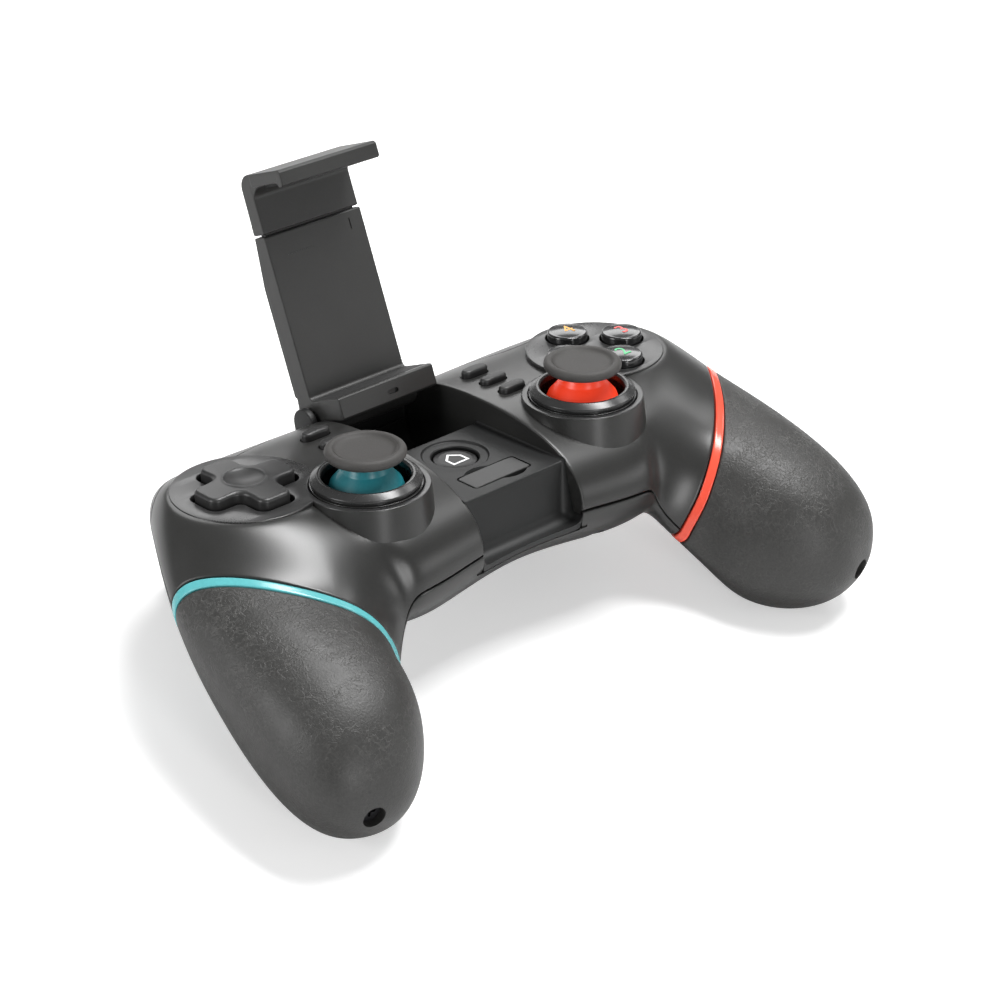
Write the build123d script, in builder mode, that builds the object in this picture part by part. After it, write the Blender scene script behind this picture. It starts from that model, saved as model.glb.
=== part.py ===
from build123d import *
import math
import os

os.makedirs("parts", exist_ok=True)

# Standing pose: the flat control faces lean back, the grips and trigger tips touch the table
TILT = 12.0
DECK_Y = -26.51
DECK_Z = 46.54

# Clearances
SLIDE_GAP = 0.3
PIN_GAP = 0.05
SEAT_GAP = 0.02
PARTING_GAP = 0.3

# Shell thickness and roundness of the body cross-sections
WALL = 2.2
FRAME_WALL = 2.0
TOP_ROUND = 0.66
LOW_ROUND = 0.62

# Body cross-sections from the middle out to the grip end, in millimetres on the control-face plane:
# inner edge x y, outer edge x y, height of the parting line at both edges, rise above it, drop below it,
# how far the crest lies from the middle towards the outer edge, and the roundness of the outer shoulder
body_sections = [
    (0.0, 6.0, 0.0, 62.4, -16.0, -13.0, 13.8, 14.5, 0.0, TOP_ROUND),
    (23.5, 4.0, 26.5, 62.5, -17.0, -12.5, 14.0, 15.0, -0.15, TOP_ROUND),
    (33.5, 4.0, 51.5, 61.5, -18.0, -11.0, 14.2, 13.0, -0.30, TOP_ROUND),
    (37.5, 4.0, 66.0, 45.5, -25.0, -7.5, 17.3, 10.0, -0.25, 0.58),
    (43.5, -2.0, 75.0, 28.5, -33.0, -13.0, 18.0, 12.0, -0.42, 0.46),
    (46.5, -9.0, 78.5, 16.0, -35.0, -19.0, 17.2, 17.5, -0.33, 0.53),
    (51.0, -16.5, 80.5, 0.5, -34.5, -26.0, 16.4, 18.5, -0.20, 0.60),
    (57.0, -22.5, 80.5, -13.5, -34.5, -32.0, 12.0, 14.5, -0.08, 0.64),
    (62.0, -25.0, 77.5, -21.0, -35.0, -34.5, 7.5, 8.5, 0.0, TOP_ROUND),
    (66.0, -25.2, 74.0, -23.5, -35.0, -35.0, 3.6, 3.9, 0.0, TOP_ROUND),
]
FACE_CUT = -0.2

# Coloured trim band between body and grip: a slanting plane and the band's width
BAND_NORMAL = (0.682, -0.697, -0.220)
BAND_AT = 35.08
BAND_WIDTH = 1.8
FRAME_OVERLAP = 2.5

# Grip screws
GRIP_SCREW = (70.1, -24.6, -39.8)
GRIP_SCREW_OUT = (0.19, -0.96, -0.20)
SCREW_HOLE_R = 2.4
SCREW_HEAD_R = 2.2
SCREW_R = 1.0

# Thumbsticks
STICK = (30.4, 21.85)
TOWER_TOP_R = 13.0
TOWER_FOOT_R = 14.0
TOWER_DEPTH = 9.5
TOWER_BORE_R = 11.8
TOWER_PLATE = 1.8
BEZEL_R = 11.2
BEZEL_BORE_R = 8.9
BEZEL_TOP = 1.9
BEZEL_SEAT = 0.8
BEZEL_TUBE_R = 9.9
CAP_R = 8.3
CAP_TOP = 8.0
CAP_UNDER = 5.9
PIVOT_Z = -10.5
DOME_R = 12.0
DOME_WALL = 1.0
NECK_R = 4.2
POST_R = 1.5
POST_TOP = 3.4
HOUSING = 14.6
HOUSING_TOP = -8.6
TRUNNION_R = 1.0

# Raised round control faces with their buttons
DISC = (49.2, 36.9)
DISC_R = 15.2
DISC_BORE_R = 13.9
DISC_PLATE = 2.0
DISC_DEPTH = 9.5
BUTTON_R = 4.5
BUTTON_REACH = 8.5
BUTTON_TOP = 1.7
BUTTON_FLANGE_R = 5.1
DPAD_ARM = 10.6
DPAD_WIDTH = 7.6
DPAD_TOP = 2.7
DPAD_GAP = 1.0
DPAD_PIVOT_Z = -4.8
BUTTON_BOARD_TOP = -6.4

# Half width and wall of the channel for the folding clip
CHANNEL_HALF = 14.0
CHANNEL_WALL = 1.6
CHANNEL_SIDE = CHANNEL_HALF + CHANNEL_WALL

# Small bar buttons beside the channel
BAR_X = CHANNEL_SIDE + 6.9
BAR_YS = (47.1, 41.2, 35.3)
BAR_LENGTH = 6.8
BAR_WIDTH = 2.6
BAR_TOP = 0.5
BAR_MAT_WIDTH = 10.8

# Channel for the folding clip
DECK_FLOOR = -6.56
RECESS_FLOOR = -19.2
PIT_FRONT = 37.6
PIT_BACK = 60.8
PIT_FLOOR = -19.5
HOME = (0.0, 29.0)
HOME_DISH_R = 7.2
HOME_R = 4.75
HOME_TOP = -7.6
KEY_HALF = 7.75
KEY_FRONT = 14.2
KEY_BACK = 20.05

# Folding clip, with v measured up its plate and w forward from the plate's face
CLIP_FOOT = (59.6, -0.1)
CLIP_LEAN = 21.2
HINGE_V = -4.32
HINGE_W = -1.49
KNUCKLE_R = 4.1
KNUCKLE_HALF = CHANNEL_HALF - SLIDE_GAP
EAR_R = 4.6
HINGE_PIN_R = 1.25
PLATE_HALF = CHANNEL_HALF - 1.0
PLATE_V = 36.0
PLATE_THICK = 5.6
BACK_COVER = 1.0
SLIDER_HALF = PLATE_HALF + 0.05
SLIDER_V0 = 36.4
SLIDER_V1 = 49.6
JAW_HALF = PLATE_HALF - 0.8
JAW_W = 11.4
LIP_HALF = PLATE_HALF + 0.45
LIP_W = 9.8
TONGUE_HALF = PLATE_HALF - 3.7
PAD_THICK = 0.9
PAD_MARGIN = 0.8

# Shoulder buttons and triggers
BUMPER_BOTTOM = -11.5
BUMPER_DROP_GAP = 1.2
TRIGGER_X0 = 30.0
TRIGGER_X1 = 49.0
TRIGGER_PIVOT = (54.0, -16.0)
TRIGGER_TIP = -33.6
TRIGGER_PIN_R = 1.2
SPRING_X = TRIGGER_X1 - 9.3

# Inside
BOARD_TOP = -16.4
BOARD_THICK = 1.6
POST_R_OUT = 3.2
STANDOFFS = ((33.0, 41.0), (34.0, 17.0))
POSTS = ((CHANNEL_SIDE + 4.4, 51.6), (CHANNEL_SIDE + 6.4, 10.0))
POST_MEET = -15.0
USB_X = CHANNEL_SIDE + 5.4
USB_Z = -14.8

tilt = math.radians(TILT)
deck = Plane(origin=(0, DECK_Y, DECK_Z), x_dir=(1, 0, 0), z_dir=(0, math.sin(tilt), math.cos(tilt)))


def on_deck(x, y, z):
    """A plane parallel to the control faces through the point x, y, z."""
    return Plane(origin=deck.from_local_coords((x, y, z)), x_dir=deck.x_dir, z_dir=deck.z_dir)


def deck_direction(x, y, z):
    """A direction given on the control-face plane, turned into the part's frame."""
    return deck.x_dir * x + deck.y_dir * y + deck.z_dir * z


def side_plane(x):
    """The upright plane at x, drawn with y to the right and height up, extruding towards +X."""
    return Plane(origin=deck.from_local_coords((x, 0, 0)), x_dir=deck.y_dir, z_dir=(1, 0, 0))


lean = math.radians(CLIP_LEAN)
clip_up = deck_direction(0, math.sin(lean), math.cos(lean))
clip_out = deck_direction(0, -math.cos(lean), math.sin(lean))


def clip_point(x, v, w):
    """A point given by v up the clip plate and w forward from it."""
    foot = deck.from_local_coords((x, CLIP_FOOT[0], CLIP_FOOT[1]))
    return foot + clip_up * v + clip_out * w


def clip_side(x):
    """The clip's side profile plane at x, drawn with v to the right and w up, extruding towards +X."""
    return Plane(origin=clip_point(x, 0, 0), x_dir=clip_up, z_dir=(1, 0, 0))


def section_face(row, side, inset, shape):
    """One body cross-section: four Bezier quarters, or the box above its parting line."""
    xi, yi, xo, yo, zi, zo, rise, drop, crest, shoulder = row
    reach = Vector(side * (xo - xi), yo - yi, 0)
    full_half = reach.length / 2
    half = full_half - inset
    along = reach.normalized()
    x_dir = deck_direction(along.X, along.Y, 0)
    middle = (side * (xi + xo) / 2, (yi + yo) / 2, (zi + zo) / 2)
    plane = Plane(
        origin=deck.from_local_coords(middle), x_dir=x_dir, z_dir=x_dir.cross(deck.z_dir)
    )
    shear = (zo - zi) / 2 * half / full_half

    def at(a, t):
        return plane.from_local_coords((half * a, shear * a + (rise if t > 0 else drop) * t - inset * t))

    if shape == "above":
        corners = [(1.15, 0), (1.15, 2), (-1.15, 2), (-1.15, 0)]
        points = [plane.from_local_coords((half * a, shear * a + 20 * t)) for a, t in corners]
        edges = [Edge.make_line(p, q) for p, q in zip(points, points[1:] + points[:1])]
    else:
        t, b = TOP_ROUND, LOW_ROUND
        edges = [
            Edge.make_bezier(at(1, 0), at(1, shoulder), at(crest + shoulder * (1 - crest), 1), at(crest, 1)),
            Edge.make_bezier(at(crest, 1), at(crest - t * (1 + crest), 1), at(-1, t), at(-1, 0)),
            Edge.make_bezier(at(-1, 0), at(-1, -b), at(-b, -1), at(0, -1)),
            Edge.make_bezier(at(0, -1), at(b, -1), at(1, -b), at(1, 0)),
        ]
    return Face(Wire(edges))


def whole_body(rows, inset, shape):
    """The cross-sections of both halves in order, from the left grip end to the right one."""
    left = [section_face(row, -1, inset, shape) for row in reversed(rows[1:])]
    right = [section_face(row, 1, inset, shape) for row in rows]
    return left + right


def band_plane(side, further):
    """The slanting plane of the trim band, moved towards the grip end by a distance."""
    nx, ny, nz = BAND_NORMAL
    size = math.sqrt(nx * nx + ny * ny + nz * nz)
    at = (BAND_AT + further) / size / size
    origin = deck.from_local_coords((side * nx * at, ny * at, nz * at))
    normal = deck_direction(side * nx, ny, nz)
    return Plane(origin=origin, x_dir=deck.z_dir.cross(normal), z_dir=normal)


# Envelopes of the body that the shells are cut from
with BuildPart() as outer:
    loft(sections=whole_body(body_sections, 0, "full"), clean=False)

with BuildPart() as core:
    loft(sections=whole_body(body_sections[:-1], WALL, "full"), clean=False)

with BuildPart() as grip_core:
    grip_rows = body_sections[3:-2]
    loft(sections=[section_face(row, 1, WALL + FRAME_WALL, "full") for row in grip_rows], clean=False)

with BuildPart() as above:
    last = body_sections[-1]
    beyond = tuple(v + d for v, d in zip(last, (0.2, -6, 0.2, -6, 0, 0, 0, 0, 0, 0)))
    loft(sections=whole_body(body_sections + [beyond], 0, "above"), clean=False)

with BuildPart() as shell:
    add(outer.part)
    add(core.part, mode=Mode.SUBTRACT)

# Shoulder button region, seen from above, with a gap around the button
bumper_outline = [(27, 56.5), (38, 54), (56, 54), (66, 47.5), (74, 41), (80, 50), (80, 75), (27, 75)]

with BuildPart() as bumper_region:
    with BuildSketch(on_deck(0, 0, BUMPER_BOTTOM)):
        with BuildLine():
            Polyline(*bumper_outline, close=True)
        make_face()
    extrude(amount=30)

with BuildPart() as bumper_window:
    with BuildSketch(on_deck(0, 0, BUMPER_BOTTOM - BUMPER_DROP_GAP)):
        with BuildLine():
            Polyline(*bumper_outline, close=True)
        make_face()
        offset(amount=SLIDE_GAP, kind=Kind.INTERSECTION)
    extrude(amount=30)

# Envelope of the clip channel, without and with the space inside it
with BuildPart() as channel_block:
    with BuildSketch(side_plane(-CHANNEL_HALF - CHANNEL_WALL)):
        with BuildLine():
            Polyline(
                (-4, RECESS_FLOOR - CHANNEL_WALL),
                (11.5, RECESS_FLOOR - CHANNEL_WALL),
                (12.7, DECK_FLOOR - CHANNEL_WALL),
                (PIT_FRONT - CHANNEL_WALL, DECK_FLOOR - CHANNEL_WALL),
                (PIT_FRONT - CHANNEL_WALL, PIT_FLOOR - CHANNEL_WALL),
                (70, PIT_FLOOR - CHANNEL_WALL),
                (70, 4),
                (-4, 4),
                close=True,
            )
        make_face()
    extrude(amount=2 * (CHANNEL_HALF + CHANNEL_WALL))
    add(outer.part, mode=Mode.INTERSECT)

hinge = clip_point(0, HINGE_V, HINGE_W)
hinge_deck = deck.to_local_coords(hinge)

with BuildPart() as channel_space:
    with BuildSketch(side_plane(-CHANNEL_HALF)):
        with BuildLine():
            Polyline(
                (-6, RECESS_FLOOR),
                (9.9, RECESS_FLOOR),
                (11.1, DECK_FLOOR),
                (PIT_FRONT, DECK_FLOOR),
                (PIT_FRONT, PIT_FLOOR),
                (PIT_BACK, PIT_FLOOR),
                (PIT_BACK, 12),
                (-6, 12),
                close=True,
            )
        make_face()
    extrude(amount=2 * CHANNEL_HALF)
    with BuildSketch(side_plane(-CHANNEL_HALF)):
        with Locations((hinge_deck.Y, hinge_deck.Z)):
            Circle(KNUCKLE_R + 1.2)
    extrude(amount=2 * CHANNEL_HALF)

def left_of(block):
    """The mirror image of a right-hand block."""
    return mirror(block.part, about=Plane.YZ, mode=Mode.PRIVATE)


# Screw posts and standoffs, kept inside the skin
with BuildPart() as low_posts:
    with BuildSketch(on_deck(0, 0, POST_MEET)):
        with Locations(*[(side * x, y) for x, y in POSTS for side in (-1, 1)]):
            Circle(POST_R_OUT)
    extrude(amount=-25)
    with BuildSketch(on_deck(0, 0, BOARD_TOP - BOARD_THICK)):
        with Locations(*[(side * x, y) for x, y in STANDOFFS for side in (-1, 1)]):
            Circle(2.0)
    extrude(amount=-25)
    with BuildSketch(on_deck(0, 0, -25.4)):
        with Locations((0, 25), (0, 39)):
            Rectangle(34, 1.6)
    extrude(amount=-8)
    add(outer.part, mode=Mode.INTERSECT)

with BuildPart() as high_posts:
    with BuildSketch(on_deck(0, 0, POST_MEET)):
        with Locations(*[(side * x, y) for x, y in POSTS for side in (-1, 1)]):
            Circle(POST_R_OUT)
    extrude(amount=20)
    add(outer.part, mode=Mode.INTERSECT)

with BuildPart() as trigger_lugs:
    for x in (TRIGGER_X0 - 2.0, TRIGGER_X1 + 0.4):
        with BuildSketch(side_plane(x)):
            with BuildLine():
                Polyline((49, -13.2), (58, -13.2), (58, -30), (49, -30), close=True)
            make_face()
        extrude(amount=1.6)
    add(outer.part, mode=Mode.INTERSECT)

# Upper shell of the body with the channel, towers and control faces
with BuildPart() as top_cover:
    add(shell.part)
    split(bisect_by=band_plane(1, 0), keep=Keep.BOTTOM)
    split(bisect_by=band_plane(-1, 0), keep=Keep.BOTTOM)
    add(above.part, mode=Mode.INTERSECT)
    split(bisect_by=on_deck(0, 0, FACE_CUT), keep=Keep.BOTTOM)
    add(high_posts.part)
    for side in (-1, 1):
        with Locations(on_deck(side * STICK[0], STICK[1], -TOWER_DEPTH)):
            Cone(TOWER_FOOT_R, TOWER_TOP_R, TOWER_DEPTH, align=(Align.CENTER, Align.CENTER, Align.MIN))
        with Locations(on_deck(side * DISC[0], DISC[1], -DISC_DEPTH)):
            Cylinder(DISC_R, DISC_DEPTH, align=(Align.CENTER, Align.CENTER, Align.MIN))
    add(channel_block.part)
    # Hinge ears
    for x in (-CHANNEL_HALF - CHANNEL_WALL, CHANNEL_HALF):
        with BuildSketch(side_plane(x)):
            with Locations((hinge_deck.Y, hinge_deck.Z)):
                Circle(EAR_R)
            with BuildLine():
                Polyline(
                    (hinge_deck.Y - EAR_R, hinge_deck.Z),
                    (hinge_deck.Y + EAR_R, hinge_deck.Z),
                    (PIT_BACK, -14),
                    (50, -14),
                    close=True,
                )
            make_face()
        extrude(amount=CHANNEL_WALL)
    # Space inside the channel and in the towers and faces
    add(channel_space.part, mode=Mode.SUBTRACT)
    with BuildSketch(side_plane(-20)):
        with Locations((hinge_deck.Y, hinge_deck.Z)):
            Circle(HINGE_PIN_R + SEAT_GAP)
    extrude(amount=40, mode=Mode.SUBTRACT)
    for side in (-1, 1):
        with BuildSketch(on_deck(side * STICK[0], STICK[1], -TOWER_PLATE)):
            Circle(TOWER_BORE_R)
        extrude(amount=-14, mode=Mode.SUBTRACT)
        with BuildSketch(on_deck(side * DISC[0], DISC[1], -DISC_PLATE)):
            Circle(DISC_BORE_R)
        extrude(amount=-12, mode=Mode.SUBTRACT)
        with BuildSketch(on_deck(side * STICK[0], STICK[1], 1)):
            Circle(BEZEL_TUBE_R + 0.1)
        extrude(amount=-5, mode=Mode.SUBTRACT)
        with BuildSketch(on_deck(side * STICK[0], STICK[1], 1)):
            Circle(BEZEL_R + SLIDE_GAP)
        extrude(amount=-1 - BEZEL_SEAT, mode=Mode.SUBTRACT)
        with BuildSketch(on_deck(side * BAR_X, 0, 2)):
            with Locations(*[(0, y) for y in BAR_YS]):
                SlotOverall(BAR_LENGTH + 2 * SLIDE_GAP, BAR_WIDTH + 2 * SLIDE_GAP)
        extrude(amount=-8, mode=Mode.SUBTRACT)
        # Flat underside where the bar buttons and their mat sit
        with BuildSketch(on_deck(side * (BAR_X + 0.4), BAR_YS[1], -3.2)):
            Rectangle(BAR_MAT_WIDTH - 0.6, 17.2)
        extrude(amount=-7, mode=Mode.SUBTRACT)
    add(bumper_window.part, mode=Mode.SUBTRACT)
    add(left_of(bumper_window), mode=Mode.SUBTRACT)
    # Trigger windows
    for x in (TRIGGER_X0 - 0.4, -TRIGGER_X1 - 0.4):
        with BuildSketch(side_plane(x)):
            with BuildLine():
                Polyline((50.5, -12), (75, -12), (75, -40), (50.5, -40), close=True)
            make_face()
        extrude(amount=TRIGGER_X1 - TRIGGER_X0 + 0.8, mode=Mode.SUBTRACT)
    # Face button holes on the right, cross opening on the left
    with BuildSketch(on_deck(DISC[0], DISC[1], 2)):
        with PolarLocations(BUTTON_REACH, 4):
            Circle(BUTTON_R + SLIDE_GAP)
    extrude(amount=-6, mode=Mode.SUBTRACT)
    with BuildSketch(on_deck(-DISC[0], DISC[1], 2)):
        Rectangle(2 * (DPAD_ARM + 0.7), DPAD_WIDTH + 2 * DPAD_GAP)
        Rectangle(DPAD_WIDTH + 2 * DPAD_GAP, 2 * (DPAD_ARM + 0.7))
    extrude(amount=-6, mode=Mode.SUBTRACT)
    # Home button dish and hole, key hole
    with BuildSketch(on_deck(HOME[0], HOME[1], DECK_FLOOR)):
        Circle(HOME_DISH_R)
    extrude(amount=-0.5, mode=Mode.SUBTRACT)
    with BuildSketch(on_deck(HOME[0], HOME[1], DECK_FLOOR)):
        Circle(HOME_R + SLIDE_GAP)
    extrude(amount=-3, mode=Mode.SUBTRACT)
    with BuildSketch(on_deck(0, (KEY_FRONT + KEY_BACK) / 2, DECK_FLOOR)):
        Rectangle(2 * KEY_HALF + 2 * SLIDE_GAP, KEY_BACK - KEY_FRONT + 2 * SLIDE_GAP)
    extrude(amount=-3, mode=Mode.SUBTRACT)
    # Screw holes
    with BuildSketch(on_deck(0, 0, POST_MEET)):
        with Locations(*[(side * x, y) for x, y in POSTS for side in (-1, 1)]):
            Circle(SCREW_R)
    extrude(amount=6, mode=Mode.SUBTRACT)
top_cover.part.label = "top_cover"
export_step(top_cover.part, "parts/top_cover.step")

# Lower shell with the screw posts, trigger lugs and socket hole
with BuildPart() as bottom_cover:
    add(shell.part)
    split(bisect_by=band_plane(1, 0), keep=Keep.BOTTOM)
    split(bisect_by=band_plane(-1, 0), keep=Keep.BOTTOM)
    add(above.part.moved(Location(deck_direction(0, 0, -PARTING_GAP))), mode=Mode.SUBTRACT)
    add(low_posts.part)
    add(bumper_window.part, mode=Mode.SUBTRACT)
    add(left_of(bumper_window), mode=Mode.SUBTRACT)
    add(trigger_lugs.part)
    add(left_of(trigger_lugs))
    # Room for the channel of the upper shell
    with BuildSketch(side_plane(-CHANNEL_HALF - CHANNEL_WALL - SLIDE_GAP)):
        with BuildLine():
            Polyline((-6, -21.1), (11.9, -21.1), (12.9, -8), (-6, -8), close=True)
        make_face()
        with BuildLine():
            Polyline((35.7, -21.4), (74, -21.4), (74, 0), (35.7, 0), close=True)
        make_face()
    extrude(amount=2 * (CHANNEL_HALF + CHANNEL_WALL + SLIDE_GAP), mode=Mode.SUBTRACT)
    for x in (TRIGGER_X0 - 0.4, -TRIGGER_X1 - 0.4):
        with BuildSketch(side_plane(x)):
            with BuildLine():
                Polyline((50.5, -10), (75, -10), (75, -40), (50.5, -40), close=True)
            make_face()
        extrude(amount=TRIGGER_X1 - TRIGGER_X0 + 0.8, mode=Mode.SUBTRACT)
    for x in (TRIGGER_X0 - 3, -TRIGGER_X1 - 3):
        with BuildSketch(side_plane(x)):
            with Locations(TRIGGER_PIVOT):
                Circle(TRIGGER_PIN_R + SEAT_GAP)
        extrude(amount=TRIGGER_X1 - TRIGGER_X0 + 6, mode=Mode.SUBTRACT)
    with BuildSketch(Plane(origin=deck.from_local_coords((USB_X, 58, USB_Z)), x_dir=deck.x_dir,
                           z_dir=deck.y_dir)):
        SlotOverall(9.6, 3.8)
    extrude(amount=8, mode=Mode.SUBTRACT)
    with BuildSketch(on_deck(0, 0, -22)):
        with Locations(*[(side * x, y) for x, y in POSTS for side in (-1, 1)]):
            Circle(SCREW_HOLE_R)
    extrude(amount=-20, mode=Mode.SUBTRACT)
    with BuildSketch(on_deck(0, 0, -23)):
        with Locations(*[(side * x, y) for x, y in POSTS for side in (-1, 1)]):
            Circle(SCREW_R + 0.1)
    extrude(amount=10, mode=Mode.SUBTRACT)
bottom_cover.part.label = "bottom_cover"
export_step(bottom_cover.part, "parts/bottom_cover.step")

# Grips: grained skin, coloured band and the sleeve that carries them
screw_out = deck_direction(*GRIP_SCREW_OUT).normalized()
screw_mouth = deck.from_local_coords(GRIP_SCREW)


def along_grip_screw(depth):
    """A plane across the grip screw's axis, a depth in from its mouth."""
    return Plane(origin=screw_mouth - screw_out * depth, z_dir=screw_out)


with BuildPart() as right_grip_cover:
    add(shell.part)
    split(bisect_by=band_plane(1, BAND_WIDTH), keep=Keep.TOP)
    with BuildSketch(along_grip_screw(-4)):
        Circle(SCREW_HOLE_R)
    extrude(amount=-7.6, mode=Mode.SUBTRACT)
right_grip_cover.part.label = "right_grip_cover"
export_step(right_grip_cover.part, "parts/right_grip_cover.step")

with BuildPart() as left_grip_cover:
    mirror(right_grip_cover.part, about=Plane.YZ)
left_grip_cover.part.label = "left_grip_cover"
export_step(left_grip_cover.part, "parts/left_grip_cover.step")

with BuildPart() as right_trim_band:
    add(shell.part)
    split(bisect_by=band_plane(1, 0), keep=Keep.TOP)
    split(bisect_by=band_plane(1, BAND_WIDTH), keep=Keep.BOTTOM)
right_trim_band.part.label = "right_trim_band"
export_step(right_trim_band.part, "parts/right_trim_band.step")

with BuildPart() as left_trim_band:
    mirror(right_trim_band.part, about=Plane.YZ)
left_trim_band.part.label = "left_trim_band"
export_step(left_trim_band.part, "parts/left_trim_band.step")

with BuildPart() as right_grip_frame:
    add(core.part)
    split(bisect_by=band_plane(1, -FRAME_OVERLAP), keep=Keep.TOP)
    add(grip_core.part, mode=Mode.SUBTRACT)
    with BuildSketch(along_grip_screw(2.6)):
        Circle(3.2)
    extrude(amount=-7)
    add(core.part, mode=Mode.INTERSECT)
    with BuildSketch(along_grip_screw(-4)):
        Circle(SCREW_HOLE_R)
    extrude(amount=-7.6, mode=Mode.SUBTRACT)
    with BuildSketch(along_grip_screw(0)):
        Circle(SCREW_R)
    extrude(amount=-8.6, mode=Mode.SUBTRACT)
right_grip_frame.part.label = "right_grip_frame"
export_step(right_grip_frame.part, "parts/right_grip_frame.step")

with BuildPart() as left_grip_frame:
    mirror(right_grip_frame.part, about=Plane.YZ)
left_grip_frame.part.label = "left_grip_frame"
export_step(left_grip_frame.part, "parts/left_grip_frame.step")

with BuildPart() as grip_screws:
    with BuildSketch(along_grip_screw(3.6)):
        Circle(SCREW_HEAD_R)
    extrude(amount=1.3)
    with BuildSketch(along_grip_screw(3.6)):
        Circle(SCREW_R)
    extrude(amount=-4.8)
    with BuildSketch(along_grip_screw(2.3)):
        Rectangle(2.6, 0.6)
        Rectangle(0.6, 2.6)
    extrude(amount=-0.7, mode=Mode.SUBTRACT)
    mirror(about=Plane.YZ)
grip_screws.part.label = "grip_screws"
export_step(grip_screws.part, "parts/grip_screws.step")

with BuildPart() as body_screws:
    with BuildSketch(on_deck(0, 0, -22)):
        with Locations(*[(side * x, y) for x, y in POSTS for side in (-1, 1)]):
            Circle(SCREW_HEAD_R)
    extrude(amount=-1.6)
    with BuildSketch(on_deck(0, 0, -22)):
        with Locations(*[(side * x, y) for x, y in POSTS for side in (-1, 1)]):
            Circle(SCREW_R)
    extrude(amount=12.5)
    with BuildSketch(on_deck(0, 0, -23.6)):
        with Locations(*[(side * x, y) for x, y in POSTS for side in (-1, 1)]):
            Rectangle(2.6, 0.6)
            Rectangle(0.6, 2.6)
    extrude(amount=0.8, mode=Mode.SUBTRACT)
body_screws.part.label = "body_screws"
export_step(body_screws.part, "parts/body_screws.step")

# Thumbsticks
deck_up = Axis(deck.origin, deck.z_dir)


def stick_level(z):
    """A level plane on the right thumbstick's middle line."""
    return on_deck(STICK[0], STICK[1], z)


def stick_across(direction):
    """The plane through the stick's pivot that faces along a direction."""
    pivot = deck.from_local_coords((STICK[0], STICK[1], PIVOT_Z))
    return Plane(origin=pivot, x_dir=deck.z_dir, z_dir=direction)


with BuildPart() as right_stick_bezel:
    with BuildSketch(stick_level(-BEZEL_SEAT)):
        Circle(BEZEL_R)
    extrude(amount=BEZEL_SEAT + BEZEL_TOP)
    chamfer(faces().sort_by(deck_up)[-1].edges(), 0.9)
    with BuildSketch(stick_level(-TOWER_PLATE)):
        Circle(BEZEL_TUBE_R)
    extrude(amount=1.5)
    with BuildSketch(stick_level(-3)):
        Circle(BEZEL_BORE_R)
    extrude(amount=6, mode=Mode.SUBTRACT)
right_stick_bezel.part.label = "right_stick_bezel"
export_step(right_stick_bezel.part, "parts/right_stick_bezel.step")

with BuildPart() as right_stick_cap:
    with BuildSketch(stick_level(CAP_UNDER)):
        Circle(CAP_R)
    extrude(amount=CAP_TOP - CAP_UNDER)
    fillet(edges().filter_by(GeomType.CIRCLE), 0.6)
    with Locations(stick_level(CAP_TOP + 33.3)):
        Sphere(34, mode=Mode.SUBTRACT)
right_stick_cap.part.label = "right_stick_cap"
export_step(right_stick_cap.part, "parts/right_stick_cap.step")

with BuildPart() as right_stick_dome:
    with Locations(stick_level(PIVOT_Z)):
        Sphere(DOME_R)
        Sphere(DOME_R - DOME_WALL, mode=Mode.SUBTRACT)
    split(bisect_by=on_deck(0, 0, -2.16), keep=Keep.TOP)
    with BuildSketch(stick_level(0.7)):
        Circle(NECK_R)
    extrude(amount=CAP_UNDER - 0.7)
    with BuildSketch(stick_level(-2)):
        Circle(POST_R + 0.08)
    extrude(amount=2 + POST_TOP + 0.8, mode=Mode.SUBTRACT)
right_stick_dome.part.label = "right_stick_dome"
export_step(right_stick_dome.part, "parts/right_stick_dome.step")

with BuildPart() as right_stick_rocker:
    with Locations(stick_level(PIVOT_Z)):
        Sphere(2.8)
    with BuildSketch(stick_across(deck.y_dir)):
        Circle(TRUNNION_R)
    extrude(amount=5.0, both=True)
    with BuildSketch(stick_level(PIVOT_Z)):
        Circle(POST_R)
    extrude(amount=POST_TOP - PIVOT_Z)
right_stick_rocker.part.label = "right_stick_rocker"
export_step(right_stick_rocker.part, "parts/right_stick_rocker.step")

with BuildPart() as right_stick_gimbal:
    with BuildSketch(stick_level(PIVOT_Z - 1.2)):
        Rectangle(11.0, 10.6)
        Rectangle(6.6, 6.6, mode=Mode.SUBTRACT)
    extrude(amount=2.4)
    with BuildSketch(stick_across(deck.y_dir)):
        Circle(TRUNNION_R + PIN_GAP)
    extrude(amount=8, both=True, mode=Mode.SUBTRACT)
    for way in (-1, 1):
        start = deck.from_local_coords((STICK[0] + way * 5.4, STICK[1], PIVOT_Z))
        with BuildSketch(Plane(origin=start, z_dir=deck.x_dir * way)):
            Circle(TRUNNION_R)
        extrude(amount=1.8)
right_stick_gimbal.part.label = "right_stick_gimbal"
export_step(right_stick_gimbal.part, "parts/right_stick_gimbal.step")

with BuildPart() as right_stick_housing:
    with BuildSketch(stick_level(BOARD_TOP)):
        Rectangle(HOUSING, HOUSING)
    extrude(amount=HOUSING_TOP - BOARD_TOP)
    with BuildSketch(stick_level(BOARD_TOP + 1)):
        Rectangle(HOUSING - 2.2, HOUSING - 2.2)
    extrude(amount=12, mode=Mode.SUBTRACT)
    with BuildSketch(stick_across(deck.x_dir)):
        Circle(TRUNNION_R + PIN_GAP)
    extrude(amount=12, both=True, mode=Mode.SUBTRACT)
right_stick_housing.part.label = "right_stick_housing"
export_step(right_stick_housing.part, "parts/right_stick_housing.step")

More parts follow.
